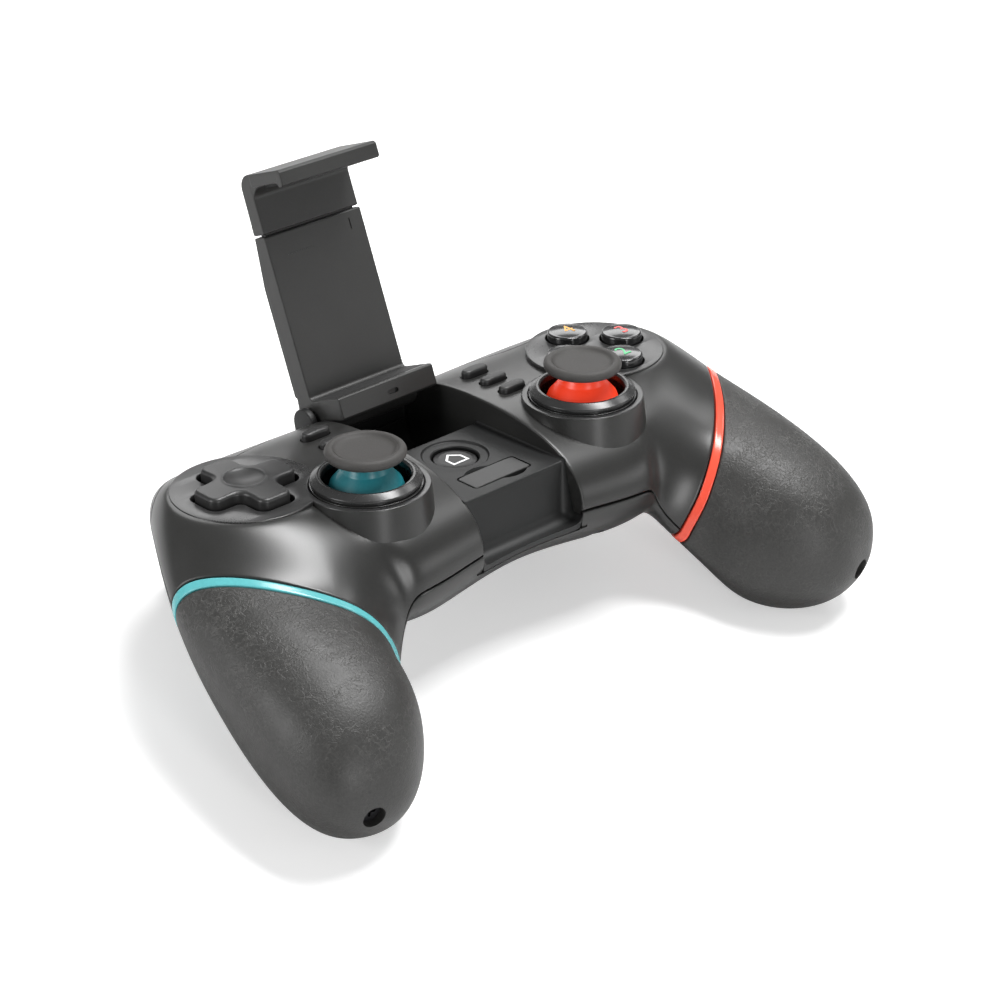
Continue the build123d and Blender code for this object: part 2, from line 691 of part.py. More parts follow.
stick_pieces = {
    "bezel": right_stick_bezel, "cap": right_stick_cap, "dome": right_stick_dome,
    "rocker": right_stick_rocker, "gimbal": right_stick_gimbal, "housing": right_stick_housing,
}
for piece, block in stick_pieces.items():
    with BuildPart() as left_piece:
        mirror(block.part, about=Plane.YZ)
    left_piece.part.label = f"left_stick_{piece}"
    export_step(left_piece.part, f"parts/left_stick_{piece}.step")

# Face buttons, their mat and board
button_places = {
    "right": (BUTTON_REACH, 0), "back": (0, BUTTON_REACH),
    "left": (-BUTTON_REACH, 0), "front": (0, -BUTTON_REACH),
}
for place, (dx, dy) in button_places.items():
    with BuildPart() as face_button:
        with BuildSketch(on_deck(DISC[0] + dx, DISC[1] + dy, -4)):
            Circle(BUTTON_R)
        extrude(amount=4 + BUTTON_TOP)
        fillet(faces().sort_by(deck_up)[-1].edges(), 0.7)
        with BuildSketch(on_deck(DISC[0] + dx, DISC[1] + dy, -4)):
            Circle(BUTTON_FLANGE_R)
        extrude(amount=1.2)
    face_button.part.label = f"face_button_{place}"
    export_step(face_button.part, f"parts/face_button_{place}.step")

with BuildPart() as face_button_mat:
    with BuildSketch(on_deck(DISC[0], DISC[1], BUTTON_BOARD_TOP)):
        Circle(DISC_BORE_R)
    extrude(amount=0.7)
    with BuildSketch(on_deck(DISC[0], DISC[1], BUTTON_BOARD_TOP)):
        with PolarLocations(BUTTON_REACH, 4):
            Circle(2.6)
    extrude(amount=1.0)
face_button_mat.part.label = "face_button_mat"
export_step(face_button_mat.part, "parts/face_button_mat.step")

with BuildPart() as face_button_board:
    with BuildSketch(on_deck(DISC[0], DISC[1], BUTTON_BOARD_TOP)):
        Circle(DISC_BORE_R)
    extrude(amount=-1.2)
face_button_board.part.label = "face_button_board"
export_step(face_button_board.part, "parts/face_button_board.step")

# Cross pad on its rocking pivot
with BuildPart() as dpad:
    with BuildSketch(on_deck(-DISC[0], DISC[1], -3.2)):
        Rectangle(2 * DPAD_ARM, DPAD_WIDTH)
        Rectangle(DPAD_WIDTH, 2 * DPAD_ARM)
        fillet(vertices(), 0.9)
    extrude(amount=3.2 + DPAD_TOP)
    fillet(faces().sort_by(deck_up)[-1].edges(), 0.6)
    with Locations(on_deck(-DISC[0], DISC[1], DPAD_TOP + 9.2)):
        Sphere(10, mode=Mode.SUBTRACT)
    for way in (-1, 1):
        with BuildSketch(on_deck(-DISC[0], DISC[1] + way * 2.9, -2.8)):
            Rectangle(3.0, 1.2)
        extrude(amount=-3.2)
    across = Plane(origin=deck.from_local_coords((-DISC[0], DISC[1], DPAD_PIVOT_Z)), z_dir=deck.y_dir)
    with BuildSketch(across):
        Circle(0.85)
    extrude(amount=6, both=True, mode=Mode.SUBTRACT)
dpad.part.label = "dpad"
export_step(dpad.part, "parts/dpad.step")

with BuildPart() as dpad_pivot:
    with BuildSketch(on_deck(-DISC[0], DISC[1], DPAD_PIVOT_Z - 1.1)):
        Rectangle(3.6, 3.6)
    extrude(amount=2.2)
    for direction in (deck.x_dir, deck.y_dir):
        middle = deck.from_local_coords((-DISC[0], DISC[1], DPAD_PIVOT_Z))
        with BuildSketch(Plane(origin=middle, z_dir=direction)):
            Circle(0.8)
        extrude(amount=3.4, both=True)
dpad_pivot.part.label = "dpad_pivot"
export_step(dpad_pivot.part, "parts/dpad_pivot.step")

with BuildPart() as dpad_base:
    with BuildSketch(on_deck(-DISC[0], DISC[1], BUTTON_BOARD_TOP)):
        Circle(DISC_BORE_R)
    extrude(amount=-1.2)
    with BuildSketch(on_deck(-DISC[0], DISC[1], BUTTON_BOARD_TOP)):
        with Locations((2.9, 0), (-2.9, 0)):
            Rectangle(1.2, 3.0)
    extrude(amount=2.5)
    with BuildSketch(Plane(origin=deck.from_local_coords((-DISC[0], DISC[1], DPAD_PIVOT_Z)),
                           z_dir=deck.x_dir)):
        Circle(0.85)
    extrude(amount=6, both=True, mode=Mode.SUBTRACT)
dpad_base.part.label = "dpad_base"
export_step(dpad_base.part, "parts/dpad_base.step")

# Bar buttons and their mats
for side_name, side in (("left", -1), ("right", 1)):
    for place, y in zip(("back", "middle", "front"), BAR_YS):
        with BuildPart() as bar:
            with BuildSketch(on_deck(side * BAR_X, y, -4.4)):
                SlotOverall(BAR_LENGTH, BAR_WIDTH)
            extrude(amount=4.4 + BAR_TOP)
            fillet(faces().sort_by(deck_up)[-1].edges(), 0.4)
            with BuildSketch(on_deck(side * BAR_X, y, -4.4)):
                SlotOverall(BAR_LENGTH + 1.2, BAR_WIDTH + 1.2)
            extrude(amount=0.9)
        bar.part.label = f"{side_name}_bar_button_{place}"
        export_step(bar.part, f"parts/{side_name}_bar_button_{place}.step")
    with BuildPart() as bar_mat:
        with BuildSketch(on_deck(side * (CHANNEL_SIDE + BAR_MAT_WIDTH / 2), BAR_YS[1] - 0.2, -6.6)):
            Rectangle(BAR_MAT_WIDTH, 14)
        extrude(amount=1.4)
    bar_mat.part.label = f"{side_name}_bar_mat"
    export_step(bar_mat.part, f"parts/{side_name}_bar_mat.step")

# Home button and release key on the channel floor
with BuildPart() as home_button:
    with BuildSketch(on_deck(HOME[0], HOME[1], -10.6)):
        Circle(HOME_R)
    extrude(amount=10.6 + HOME_TOP)
    fillet(faces().sort_by(deck_up)[-1].edges(), 0.3)
    with BuildSketch(on_deck(HOME[0], HOME[1], -9.4)):
        Circle(HOME_R + 0.9)
    extrude(amount=0.9)
home_button.part.label = "home_button"
export_step(home_button.part, "parts/home_button.step")

with BuildPart() as release_key:
    with BuildSketch(on_deck(0, (KEY_FRONT + KEY_BACK) / 2, -10.2)):
        Rectangle(2 * KEY_HALF, KEY_BACK - KEY_FRONT)
    extrude(amount=10.2 + DECK_FLOOR - 0.1)
    fillet(faces().sort_by(deck_up)[-1].edges(), 0.4)
    with BuildSketch(on_deck(0, (KEY_FRONT + KEY_BACK) / 2, -9.6)):
        Rectangle(2 * KEY_HALF + 1.4, KEY_BACK - KEY_FRONT + 1.4)
    extrude(amount=1.1)
release_key.part.label = "release_key"
export_step(release_key.part, "parts/release_key.step")

# Shoulder buttons
with BuildPart() as right_bumper:
    add(shell.part)
    add(bumper_region.part, mode=Mode.INTERSECT)
    split(bisect_by=on_deck(0, 0, FACE_CUT), keep=Keep.BOTTOM)
right_bumper.part.label = "right_bumper"
export_step(right_bumper.part, "parts/right_bumper.step")

with BuildPart() as left_bumper:
    mirror(right_bumper.part, about=Plane.YZ)
left_bumper.part.label = "left_bumper"
export_step(left_bumper.part, "parts/left_bumper.step")

# Triggers with their pins and springs
with BuildPart() as right_trigger:
    with BuildSketch(side_plane(TRIGGER_X0)):
        with BuildLine():
            Polyline((53.5, -13.3), (61.6, -13.3))
            Spline((61.6, -13.3), (63.7, -18.5), (65.3, -25), (66.3, -31.8))
            ThreePointArc((66.3, -31.8), (65.3, TRIGGER_TIP), (63.4, -32.6))
            Spline((63.4, -32.6), (61.7, -25.5), (59.7, -20.5), (56.2, -17.6))
            Line((56.2, -17.6), (53.5, -13.3))
        make_face()
        with Locations(TRIGGER_PIVOT):
            Circle(2.8)
    extrude(amount=TRIGGER_X1 - TRIGGER_X0)
    with BuildSketch(side_plane(TRIGGER_X0)):
        with Locations(TRIGGER_PIVOT):
            Circle(TRIGGER_PIN_R + PIN_GAP)
    extrude(amount=TRIGGER_X1 - TRIGGER_X0, mode=Mode.SUBTRACT)
    # Notch for the spring
    with BuildSketch(side_plane(SPRING_X - 0.7)):
        with Locations(TRIGGER_PIVOT):
            Circle(3.4)
    extrude(amount=5, mode=Mode.SUBTRACT)
right_trigger.part.label = "right_trigger"
export_step(right_trigger.part, "parts/right_trigger.step")

with BuildPart() as right_trigger_pin:
    with BuildSketch(side_plane(TRIGGER_X0 - 2)):
        with Locations(TRIGGER_PIVOT):
            Circle(TRIGGER_PIN_R)
    extrude(amount=TRIGGER_X1 - TRIGGER_X0 + 4)
right_trigger_pin.part.label = "right_trigger_pin"
export_step(right_trigger_pin.part, "parts/right_trigger_pin.step")

with BuildPart() as right_trigger_spring:
    coil = Helix(pitch=0.9, height=3.6, radius=1.55, center=(0, 0, 0), direction=(0, 0, 1))
    seat = Location(Plane(origin=deck.from_local_coords((SPRING_X, *TRIGGER_PIVOT)), x_dir=deck.y_dir,
                          z_dir=(1, 0, 0)))
    path = coil.moved(seat)
    with BuildSketch(Plane(origin=path @ 0, z_dir=path % 0)):
        Circle(0.3)
    sweep(path=path)
right_trigger_spring.part.label = "right_trigger_spring"
export_step(right_trigger_spring.part, "parts/right_trigger_spring.step")

for piece, block in (("", right_trigger), ("_pin", right_trigger_pin), ("_spring", right_trigger_spring)):
    with BuildPart() as left_piece:
        mirror(block.part, about=Plane.YZ)
    left_piece.part.label = f"left_trigger{piece}"
    export_step(left_piece.part, f"parts/left_trigger{piece}.step")

# Board, battery and charging socket
with BuildPart() as main_board:
    with BuildSketch(on_deck(0, 0, BOARD_TOP)):
        with BuildLine():
            Polyline(
                (-50, 20), (-44, 14), (44, 14), (50, 20), (50, 46), (USB_X + 6, 46), (USB_X + 6, 58.6),
                (USB_X - 4, 58.6), (USB_X - 4, 55.4), (USB_X + 3, 55.4), (USB_X + 3, 46),
                (CHANNEL_SIDE + 1, 46), (CHANNEL_SIDE + 1, 35.2), (-CHANNEL_SIDE - 1, 35.2),
                (-CHANNEL_SIDE - 1, 46), (-50, 46), close=True,
            )
        make_face()
    extrude(amount=-BOARD_THICK)
main_board.part.label = "main_board"
export_step(main_board.part, "parts/main_board.step")

with BuildPart() as battery:
    with BuildSketch(on_deck(0, 32, -25.4)):
        RectangleRounded(46, 22, 2)
    extrude(amount=3.9)
battery.part.label = "battery"
export_step(battery.part, "parts/battery.step")

with BuildPart() as usb_socket:
    mouth = Plane(origin=deck.from_local_coords((USB_X, 61.8, USB_Z)), x_dir=deck.x_dir, z_dir=deck.y_dir)
    with BuildSketch(mouth):
        SlotOverall(9, 3.2)
    extrude(amount=-7)
    with BuildSketch(mouth):
        SlotOverall(8.4, 2.6)
    extrude(amount=-6, mode=Mode.SUBTRACT)
    with BuildSketch(mouth.offset(-1)):
        Rectangle(6.6, 0.7)
    extrude(amount=-6)
usb_socket.part.label = "usb_socket"
export_step(usb_socket.part, "parts/usb_socket.step")

# Folding clip: plate with the lower jaw and the hinge knuckle
with BuildPart() as clip_plate:
    with BuildSketch(clip_side(-PLATE_HALF)):
        with BuildLine():
            Polyline((-2, 0), (PLATE_V, 0), (PLATE_V, -3.4), (26, -4.6), (-2, -4.6), close=True)
        make_face()
    extrude(amount=2 * PLATE_HALF)
    with BuildSketch(clip_side(-LIP_HALF)):
        with BuildLine():
            Polyline(
                (0, 0), (0.4, -4.6), (0.4, -5.55), (HINGE_V, -5.55), (-4.8, HINGE_W), (-4.8, 8.6),
                (-4.1, LIP_W), (0.8, LIP_W), (0.8, 9.3), (0, 8.6), close=True,
            )
        make_face()
    extrude(amount=2 * LIP_HALF)
    with BuildSketch(clip_side(-KNUCKLE_HALF)):
        with Locations((HINGE_V, HINGE_W)):
            Circle(KNUCKLE_R)
    extrude(amount=2 * KNUCKLE_HALF)
    with BuildSketch(clip_side(-KNUCKLE_HALF)):
        with Locations((HINGE_V, HINGE_W)):
            Circle(HINGE_PIN_R + PIN_GAP)
    extrude(amount=2 * KNUCKLE_HALF, mode=Mode.SUBTRACT)
    # Pocket for the slider's tongue, recess for the lower pad
    with BuildSketch(clip_side(-TONGUE_HALF - 0.2)):
        with BuildLine():
            Polyline((3, -1), (PLATE_V + 1, -1), (PLATE_V + 1, -2.8), (3, -2.8), close=True)
        make_face()
    extrude(amount=2 * TONGUE_HALF + 0.4, mode=Mode.SUBTRACT)
    with BuildSketch(clip_side(PAD_MARGIN - LIP_HALF)):
        with BuildLine():
            Polyline((-PAD_THICK, 0.8), (2, 0.8), (2, 8.2), (-PAD_THICK, 8.2), close=True)
        make_face()
    extrude(amount=2 * (LIP_HALF - PAD_MARGIN), mode=Mode.SUBTRACT)
clip_plate.part.label = "clip_plate"
export_step(clip_plate.part, "parts/clip_plate.step")

with BuildPart() as clip_back_cover:
    with BuildSketch(clip_side(-PLATE_HALF)):
        with BuildLine():
            Polyline(
                (0.5, -4.6), (26, -4.6), (PLATE_V, -3.4), (PLATE_V, -3.95), (25, -PLATE_THICK),
                (0.5, -PLATE_THICK), close=True,
            )
        make_face()
    extrude(amount=2 * PLATE_HALF)
clip_back_cover.part.label = "clip_back_cover"
export_step(clip_back_cover.part, "parts/clip_back_cover.step")

with BuildPart() as clip_slider:
    with BuildSketch(clip_side(-SLIDER_HALF)):
        with BuildLine():
            Polyline(
                (SLIDER_V0, -0.7), (46.6, -0.7), (46.6, 0.1), (49.5, 0.1), (48.6, -0.9), (45, -2.8),
                (SLIDER_V0, -4.0), close=True,
            )
        make_face()
    extrude(amount=2 * SLIDER_HALF)
    with BuildSketch(clip_side(-JAW_HALF)):
        with BuildLine():
            Polyline(
                (46.6, -0.7), (46.6, 9.8), (45.5, 10.5), (45.5, JAW_W - 0.3), (45.8, JAW_W),
                (48.8, JAW_W), (49.2, JAW_W - 0.4), (SLIDER_V1, 3.4), (49.3, -0.2), (48.6, -0.7),
                close=True,
            )
        make_face()
    extrude(amount=2 * JAW_HALF)
    with BuildSketch(clip_side(-TONGUE_HALF)):
        with BuildLine():
            Polyline((4, -1.15), (SLIDER_V0 + 1, -1.15), (SLIDER_V0 + 1, -2.65), (4, -2.65), close=True)
        make_face()
    extrude(amount=2 * TONGUE_HALF)
    with BuildSketch(clip_side(-2.2)):
        with BuildLine():
            Polyline((3, 0), (33, 0), (33, -4), (3, -4), close=True)
        make_face()
    extrude(amount=4.4, mode=Mode.SUBTRACT)
    with BuildSketch(clip_side(PAD_MARGIN - JAW_HALF)):
        with BuildLine():
            Polyline((46, 0.8), (47.1, 0.8), (47.1, 9.4), (46, 9.4), close=True)
        make_face()
    extrude(amount=2 * (JAW_HALF - PAD_MARGIN), mode=Mode.SUBTRACT)
clip_slider.part.label = "clip_slider"
export_step(clip_slider.part, "parts/clip_slider.step")

with BuildPart() as clip_hinge_pin:
    with BuildSketch(clip_side(-CHANNEL_HALF - CHANNEL_WALL)):
        with Locations((HINGE_V, HINGE_W)):
            Circle(HINGE_PIN_R)
    extrude(amount=2 * (CHANNEL_HALF + CHANNEL_WALL))
clip_hinge_pin.part.label = "clip_hinge_pin"
export_step(clip_hinge_pin.part, "parts/clip_hinge_pin.step")

with BuildPart() as clip_slider_spring:
    coil = Helix(pitch=1.6, height=28, radius=0.55, center=(0, 0, 0), direction=(0, 0, 1))
    seat = Location(Plane(origin=clip_point(0, 3.25, -1.9), x_dir=(1, 0, 0), z_dir=clip_up))
    path = coil.moved(seat)
    with BuildSketch(Plane(origin=path @ 0, z_dir=path % 0)):
        Circle(0.2)
    sweep(path=path)
clip_slider_spring.part.label = "clip_slider_spring"
export_step(clip_slider_spring.part, "parts/clip_slider_spring.step")

with BuildPart() as lower_jaw_pad:
    with BuildSketch(clip_side(PAD_MARGIN - LIP_HALF)):
        with BuildLine():
            Polyline((-PAD_THICK, 0.8), (0, 0.8), (0, 8.2), (-PAD_THICK, 8.2), close=True)
        make_face()
    extrude(amount=2 * (LIP_HALF - PAD_MARGIN))
lower_jaw_pad.part.label = "lower_jaw_pad"
export_step(lower_jaw_pad.part, "parts/lower_jaw_pad.step")

with BuildPart() as upper_jaw_pad:
    with BuildSketch(clip_side(PAD_MARGIN - JAW_HALF)):
        with BuildLine():
            Polyline((46.2, 0.8), (47.1, 0.8), (47.1, 9.4), (46.2, 9.4), close=True)
        make_face()
    extrude(amount=2 * (JAW_HALF - PAD_MARGIN))
upper_jaw_pad.part.label = "upper_jaw_pad"
export_step(upper_jaw_pad.part, "parts/upper_jaw_pad.step")
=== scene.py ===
# %% [markdown]
# # A wireless gamepad with a fold-up phone clip
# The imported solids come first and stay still. Every visible part is then built around them as a surface
# worked out with numpy, in millimetres on the plane of the control faces, and put in place at the end.

import math

import bmesh
import bpy
import numpy as np
from mathutils import Matrix


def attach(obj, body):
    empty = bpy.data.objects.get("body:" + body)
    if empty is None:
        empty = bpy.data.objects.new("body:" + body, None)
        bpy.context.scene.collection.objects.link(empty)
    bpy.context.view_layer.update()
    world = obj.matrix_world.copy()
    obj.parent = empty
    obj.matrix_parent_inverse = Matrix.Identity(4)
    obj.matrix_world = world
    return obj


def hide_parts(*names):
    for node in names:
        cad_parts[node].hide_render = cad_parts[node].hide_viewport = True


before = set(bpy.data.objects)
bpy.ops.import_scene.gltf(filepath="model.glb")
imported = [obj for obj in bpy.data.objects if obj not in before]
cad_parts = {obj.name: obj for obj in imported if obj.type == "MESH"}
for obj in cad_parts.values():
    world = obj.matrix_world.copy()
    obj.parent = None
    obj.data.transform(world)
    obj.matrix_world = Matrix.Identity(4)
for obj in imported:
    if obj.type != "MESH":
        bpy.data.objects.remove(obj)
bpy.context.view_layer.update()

# %% [markdown]
# ## Two frames
# The gamepad stands on its grips and trigger tips, so its control faces lean back by 12 degrees. It is
# easier to think of them as level: x to the right, y away from the player, z out of the faces. One function
# turns such deck millimetres into the part's metres.

# %% The deck frame
MM = 0.001
LEAN_BACK = math.radians(12)
DECK_ORIGIN = (0.0, -26.51, 46.54)


def leaned(v):
    """A deck direction in the part's frame: turned about X by the lean."""
    v = np.asarray(v, float)
    c, s = math.cos(LEAN_BACK), math.sin(LEAN_BACK)
    return np.stack([v[..., 0], c * v[..., 1] + s * v[..., 2], c * v[..., 2] - s * v[..., 1]], -1)


def place(points):
    """Deck millimetres to part metres: the lean, then the deck's origin, then a thousandth."""
    return (leaned(points) + DECK_ORIGIN) * MM


def unit(v):
    """Vectors divided by their lengths."""
    return v / np.maximum(np.linalg.norm(v, axis=-1, keepdims=True), 1e-12)


def smoothstep(low, high, x):
    """0 below low, 1 above high, and 3t^2 - 2t^3 between."""
    t = np.clip((x - low) / (high - low), 0, 1)
    return t * t * (3 - 2 * t)


def linked(name, data):
    """A new object in the scene, with its data."""
    obj = bpy.data.objects.new(name, data)
    bpy.context.scene.collection.objects.link(obj)
    return obj


def stand(obj, at, axes):
    """Puts an object at a point in metres, its own three axes along the given ones."""
    pose = np.eye(4)
    pose[:3, :3], pose[:3, 3] = np.stack(axes, 1), at
    obj.matrix_world = Matrix(pose.tolist())


# %% [markdown]
# ## Camera
# Its place was solved from the photograph on the deck plane: a long lens, about 100 mm, from the front left
# and above. The three axes of the camera are turned with the deck.

# %% Camera
CAMERA_AT = (-347.58, -354.89, 242.08)
CAMERA_AZIMUTH, CAMERA_HEIGHT, CAMERA_ROLL = np.radians([-43.186, 26.609, -0.631])
CAMERA_LENS = 99.1


def camera_axes():
    """Right, up and back of a camera at that azimuth and height, rolled about its back axis."""
    a, e, r = CAMERA_AZIMUTH, CAMERA_HEIGHT, CAMERA_ROLL
    back = np.array([math.sin(a) * math.cos(e), -math.cos(a) * math.cos(e), math.sin(e)])
    right = np.array([math.cos(a), math.sin(a), 0.0])
    up = np.cross(back, right)
    return math.cos(r) * right + math.sin(r) * up, math.cos(r) * up - math.sin(r) * right, back


camera = linked("Camera", bpy.data.cameras.new("Camera"))
stand(camera, place(CAMERA_AT), [leaned(v) for v in camera_axes()])
camera.data.sensor_width = 36
camera.data.lens = CAMERA_LENS
camera.data.clip_end = 20
bpy.context.scene.camera = camera
print("camera at", np.round(place(CAMERA_AT), 3))

# %% [markdown]
# ## Finishes
# A material is a tree of nodes. Two small classes make it read like arithmetic: `Value` is a socket that can
# be added and multiplied, and `Finish` is one plastic, rubber or metal with a method for any other node.


# %% Values and finishes
class Value:
    """A socket's number in a finish; arithmetic on it adds Math nodes."""

    def __init__(self, finish, socket):
        self.finish, self.socket = finish, socket

    def math(self, operation, *others, swapped=False):
        values = (self, *others)
        return self.finish.node("Math", {"operation": operation}, values[::-1] if swapped else values)

    def __add__(self, other):
        return self.math("ADD", other)

    def __sub__(self, other):
        return self.math("SUBTRACT", other)

    def __rsub__(self, other):
        return self.math("SUBTRACT", other, swapped=True)

    def __mul__(self, other):
        return self.math("MULTIPLY", other)

    __radd__, __rmul__ = __add__, __mul__


class Finish:
    """A material with one Principled shader whose fixed numbers are set on its sockets."""

    def __init__(self, name, **fixed):
        self.material = bpy.data.materials.new(name)
        self.material.use_nodes = True
        self.tree = self.material.node_tree
        self.tree.nodes.clear()
        self.shader = self.tree.nodes.new("ShaderNodeBsdfPrincipled")
        self.end = self.tree.nodes.new("ShaderNodeOutputMaterial")
        self.tree.links.new(self.shader.outputs[0], self.end.inputs[0])
        for socket, value in fixed.items():
            self.shader.inputs[socket.replace("_", " ")].default_value = value

    def node(self, kind, settings=None, inputs=(), output=0):
        """Adds a node: its settings first, a ramp's stops among them, then its inputs by place or name."""
        made = self.tree.nodes.new("ShaderNode" + kind)
        for key, value in (settings or {}).items():
            if key == "stops":
                ramp = made.color_ramp.elements
                ramp[0].position, ramp[0].color = value[0]
                ramp[1].position, ramp[1].color = value[-1]
                for position, color in value[1:-1]:
                    ramp.new(position).color = color
            else:
                setattr(made, key, value)
        for key, value in inputs.items() if isinstance(inputs, dict) else enumerate(inputs):
            self.feed(made.inputs[key], value)
        return Value(self, made.outputs[output])

    def feed(self, socket, value):
        if isinstance(value, Value):
            self.tree.links.new(value.socket, socket)
        else:
            socket.default_value = value

    def set(self, socket, value):
        self.feed(self.shader.inputs[socket], value)

    def places(self):
        """The point in the part's own metres."""
        return self.node("TexCoord", output="Object")

    def noise(self, size, detail=2.0, where=None):
        """Cloudy noise, 0 to 1, whose lumps are about size millimetres across."""
        sockets = {"Vector": where or self.places(), "Scale": 1 / (size * MM), "Detail": detail}
        return self.node("TexNoise", None, sockets)

    def ramp(self, value, *stops):
        """Numbers between the stops (position, level)."""
        grey = [(p, (v, v, v, 1)) for p, v in stops]
        return self.node("ValToRGB", {"stops": grey}, [value])

    def blend(self, share, a, b):
        """Colour a where share is 0 and b where it is 1."""
        return self.node("Mix", {"data_type": "RGBA"}, {0: share, 6: a, 7: b}, 2)

    def bump(self, height, depth):
        """A normal tilted by a height of 0 to 1 times depth millimetres."""
        return self.node("Bump", None, {"Height": height, "Distance": depth * MM, "Strength": 1.0})


def srgb(*values):
    """A colour written 0 to 255 as light, by the 2.4 power curve, with alpha 1."""
    c = np.array(values, float) / 255
    return (*np.where(c > 0.04045, ((c + 0.055) / 1.055) ** 2.4, c / 12.92), 1.0)


# %% [markdown]
# Moulded plastic is never one flat colour: the tool's fine spark texture scatters light, handling leaves
# patches that are a little smoother, and dust settles in specks. One recipe with a few numbers gives most
# of the gamepad's plastics, from the satin body to the glossy buttons.


# %% Moulded plastic
def moulded(name, color, rough, grain=0.35, depth=0.004, patchy=0.06, speck=0.25, **fixed):
    """Plastic of a colour and roughness: a spark texture with a grain size and depth in millimetres,
    patches of other gloss, and pale specks."""
    color = srgb(*color)
    finish = Finish(name, **fixed)
    fine = finish.noise(grain, 3.0)
    patches = finish.noise(14.0, 3.0)
    specks = finish.ramp(finish.noise(0.45, 1.0), (0.70, 0.0), (0.78, 1.0))
    light = tuple(min(1.0, v * 1.35 + 0.012) for v in color[:3]) + (1.0,)
    dark = tuple(v * 0.82 for v in color[:3]) + (1.0,)
    toned = finish.blend(patches * 0.6 + fine * 0.4, dark, light)
    finish.set("Base Color", finish.blend(specks * speck, toned, light))
    finish.set("Roughness", patches * patchy + (rough - patchy / 2) + fine * 0.05)
    finish.set("Normal", finish.bump(fine, depth))
    return finish


FINISHES = {
    "body_plastic": moulded("Satin body plastic", (32, 32, 31), 0.30, 0.3, 0.005),
    "ring_plastic": moulded("Ring plastic", (34, 34, 34), 0.24, 0.4, 0.002, speck=0.1),
    "button_gloss": moulded("Glossy button", (24, 24, 25), 0.16, 0.6, 0.001, 0.05, 0.05, Coat_Weight=0.3),
    "key_plastic": moulded("Satin key", (28, 28, 28), 0.42, 0.4, 0.002, speck=0.1),
    "clip_plastic": moulded("Clip plastic", (31, 31, 30), 0.38, 0.35, 0.004, speck=0.15),
    "pad_rubber": moulded("Jaw pad rubber", (24, 24, 24), 0.7, 0.5, 0.01, speck=0.05),
    "dome_left": moulded("Teal stick skirt", (20, 112, 122), 0.32, 0.5, 0.004, speck=0.05),
    # The coral skirt's emission is painted light: a glow that brightens the cone in the shade of the cap.
    "dome_right": moulded("Coral stick skirt", (250, 62, 30), 0.32, 0.5, 0.004, speck=0.05,
                          Emission_Color=srgb(255, 60, 26), Emission_Strength=0.3),
    "band_left": moulded("Teal band", (84, 166, 170), 0.18, 0.6, 0.002, speck=0.05),
    "band_right": moulded("Coral band", (246, 80, 58), 0.18, 0.6, 0.002, speck=0.05),
}
face_plastic = moulded("Smooth face plastic", (36, 36, 36), 0.26, 0.4, 0.0015, speck=0.1)
bar_plastic = moulded("Matt bar button", (28, 28, 28), 0.42, 0.4, 0.004, speck=0.1)
pad_plastic = moulded("Satin pad", (30, 30, 30), 0.36, 0.4, 0.003, speck=0.15)
# Painted shade: the channel is the body's plastic, made near black to stand in for the shade in the recess.
channel_shade_plastic = moulded("Channel plastic darkened as painted shade", (12, 13, 13), 0.46, 0.4, 0.003, speck=0.1,
                        Specular_IOR_Level=0.35)
home_gloss = moulded("Black home button", (10, 10, 11), 0.3, 0.6, 0.001, 0.05, 0.05, Specular_IOR_Level=0.2)

# %% [markdown]
# The stick caps are moulded rubber with a dusty, matt skin, and the grips have a leather grain: creased
# folds a millimetre or two apart near the band that fade into fine pimples towards the ends.


# %% Rubber and grained skin
def make_cap_rubber():
    finish = Finish("Cap rubber")
    fine = finish.noise(0.3, 4.0)
    dust = finish.noise(0.22, 3.0)
    finish.set("Base Color", finish.blend(dust, srgb(46, 45, 44), srgb(66, 64, 62)))
    finish.set("Roughness", fine * 0.2 + 0.55)
    finish.set("Normal", finish.bump(fine, 0.012))
    return finish


def make_grip_skin():
    """Leather grain: creases are where warped cloudy noise crosses its middle, 1 - |2n - 1| over a limit,
    and fine pimples lie between them."""
    finish = Finish("Grained grip skin")
    where = finish.places()
    warp = finish.node("TexNoise", None, {"Vector": where, "Scale": 420.0, "Detail": 4.0}, 1)
    bent = finish.node("VectorMath", {"operation": "MULTIPLY_ADD"}, [warp, (0.0016,) * 3, where])
    creases = 0.0
    for size, share in ((2.2, 0.6), (1.1, 0.4)):
        cloud = finish.noise(size, 3.0, bent)
        ridge = (cloud * 2.0 - 1.0).math("ABSOLUTE")
        creases = finish.ramp(ridge, (0.0, 1.0), (0.03, 0.8), (0.075, 0.0)) * share + creases
    patches = finish.ramp(finish.noise(9.0, 2.0), (0.36, 0.15), (0.56, 1.0))
    height = finish.node("SeparateXYZ", None, [where], 2)
    near_band = finish.node("MapRange", None, [height, 0.018, 0.04, 0.25, 1.0])
    pimples = finish.noise(0.42, 3.0)
    lumps = finish.noise(3.2, 4.0)
    folds = creases * patches * near_band
    grain = folds + pimples * 0.5 + lumps * 0.35
    shade = folds * 0.7 + pimples * 0.45
    finish.set("Base Color", finish.blend(shade, srgb(34, 34, 33), srgb(80, 79, 77)))
    finish.set("Roughness", lumps * 0.14 + 0.40)
    finish.set("Normal", finish.bump(grain, 0.11))
    return finish


FINISHES["cap_rubber"] = make_cap_rubber()
FINISHES["grip_skin"] = make_grip_skin()

# %% [markdown]
# Inside are the parts that a buyer sees only through gaps: steel pins and springs, a green board, grey
# moulded stick housings, a wrapped battery and milky silicone mats.

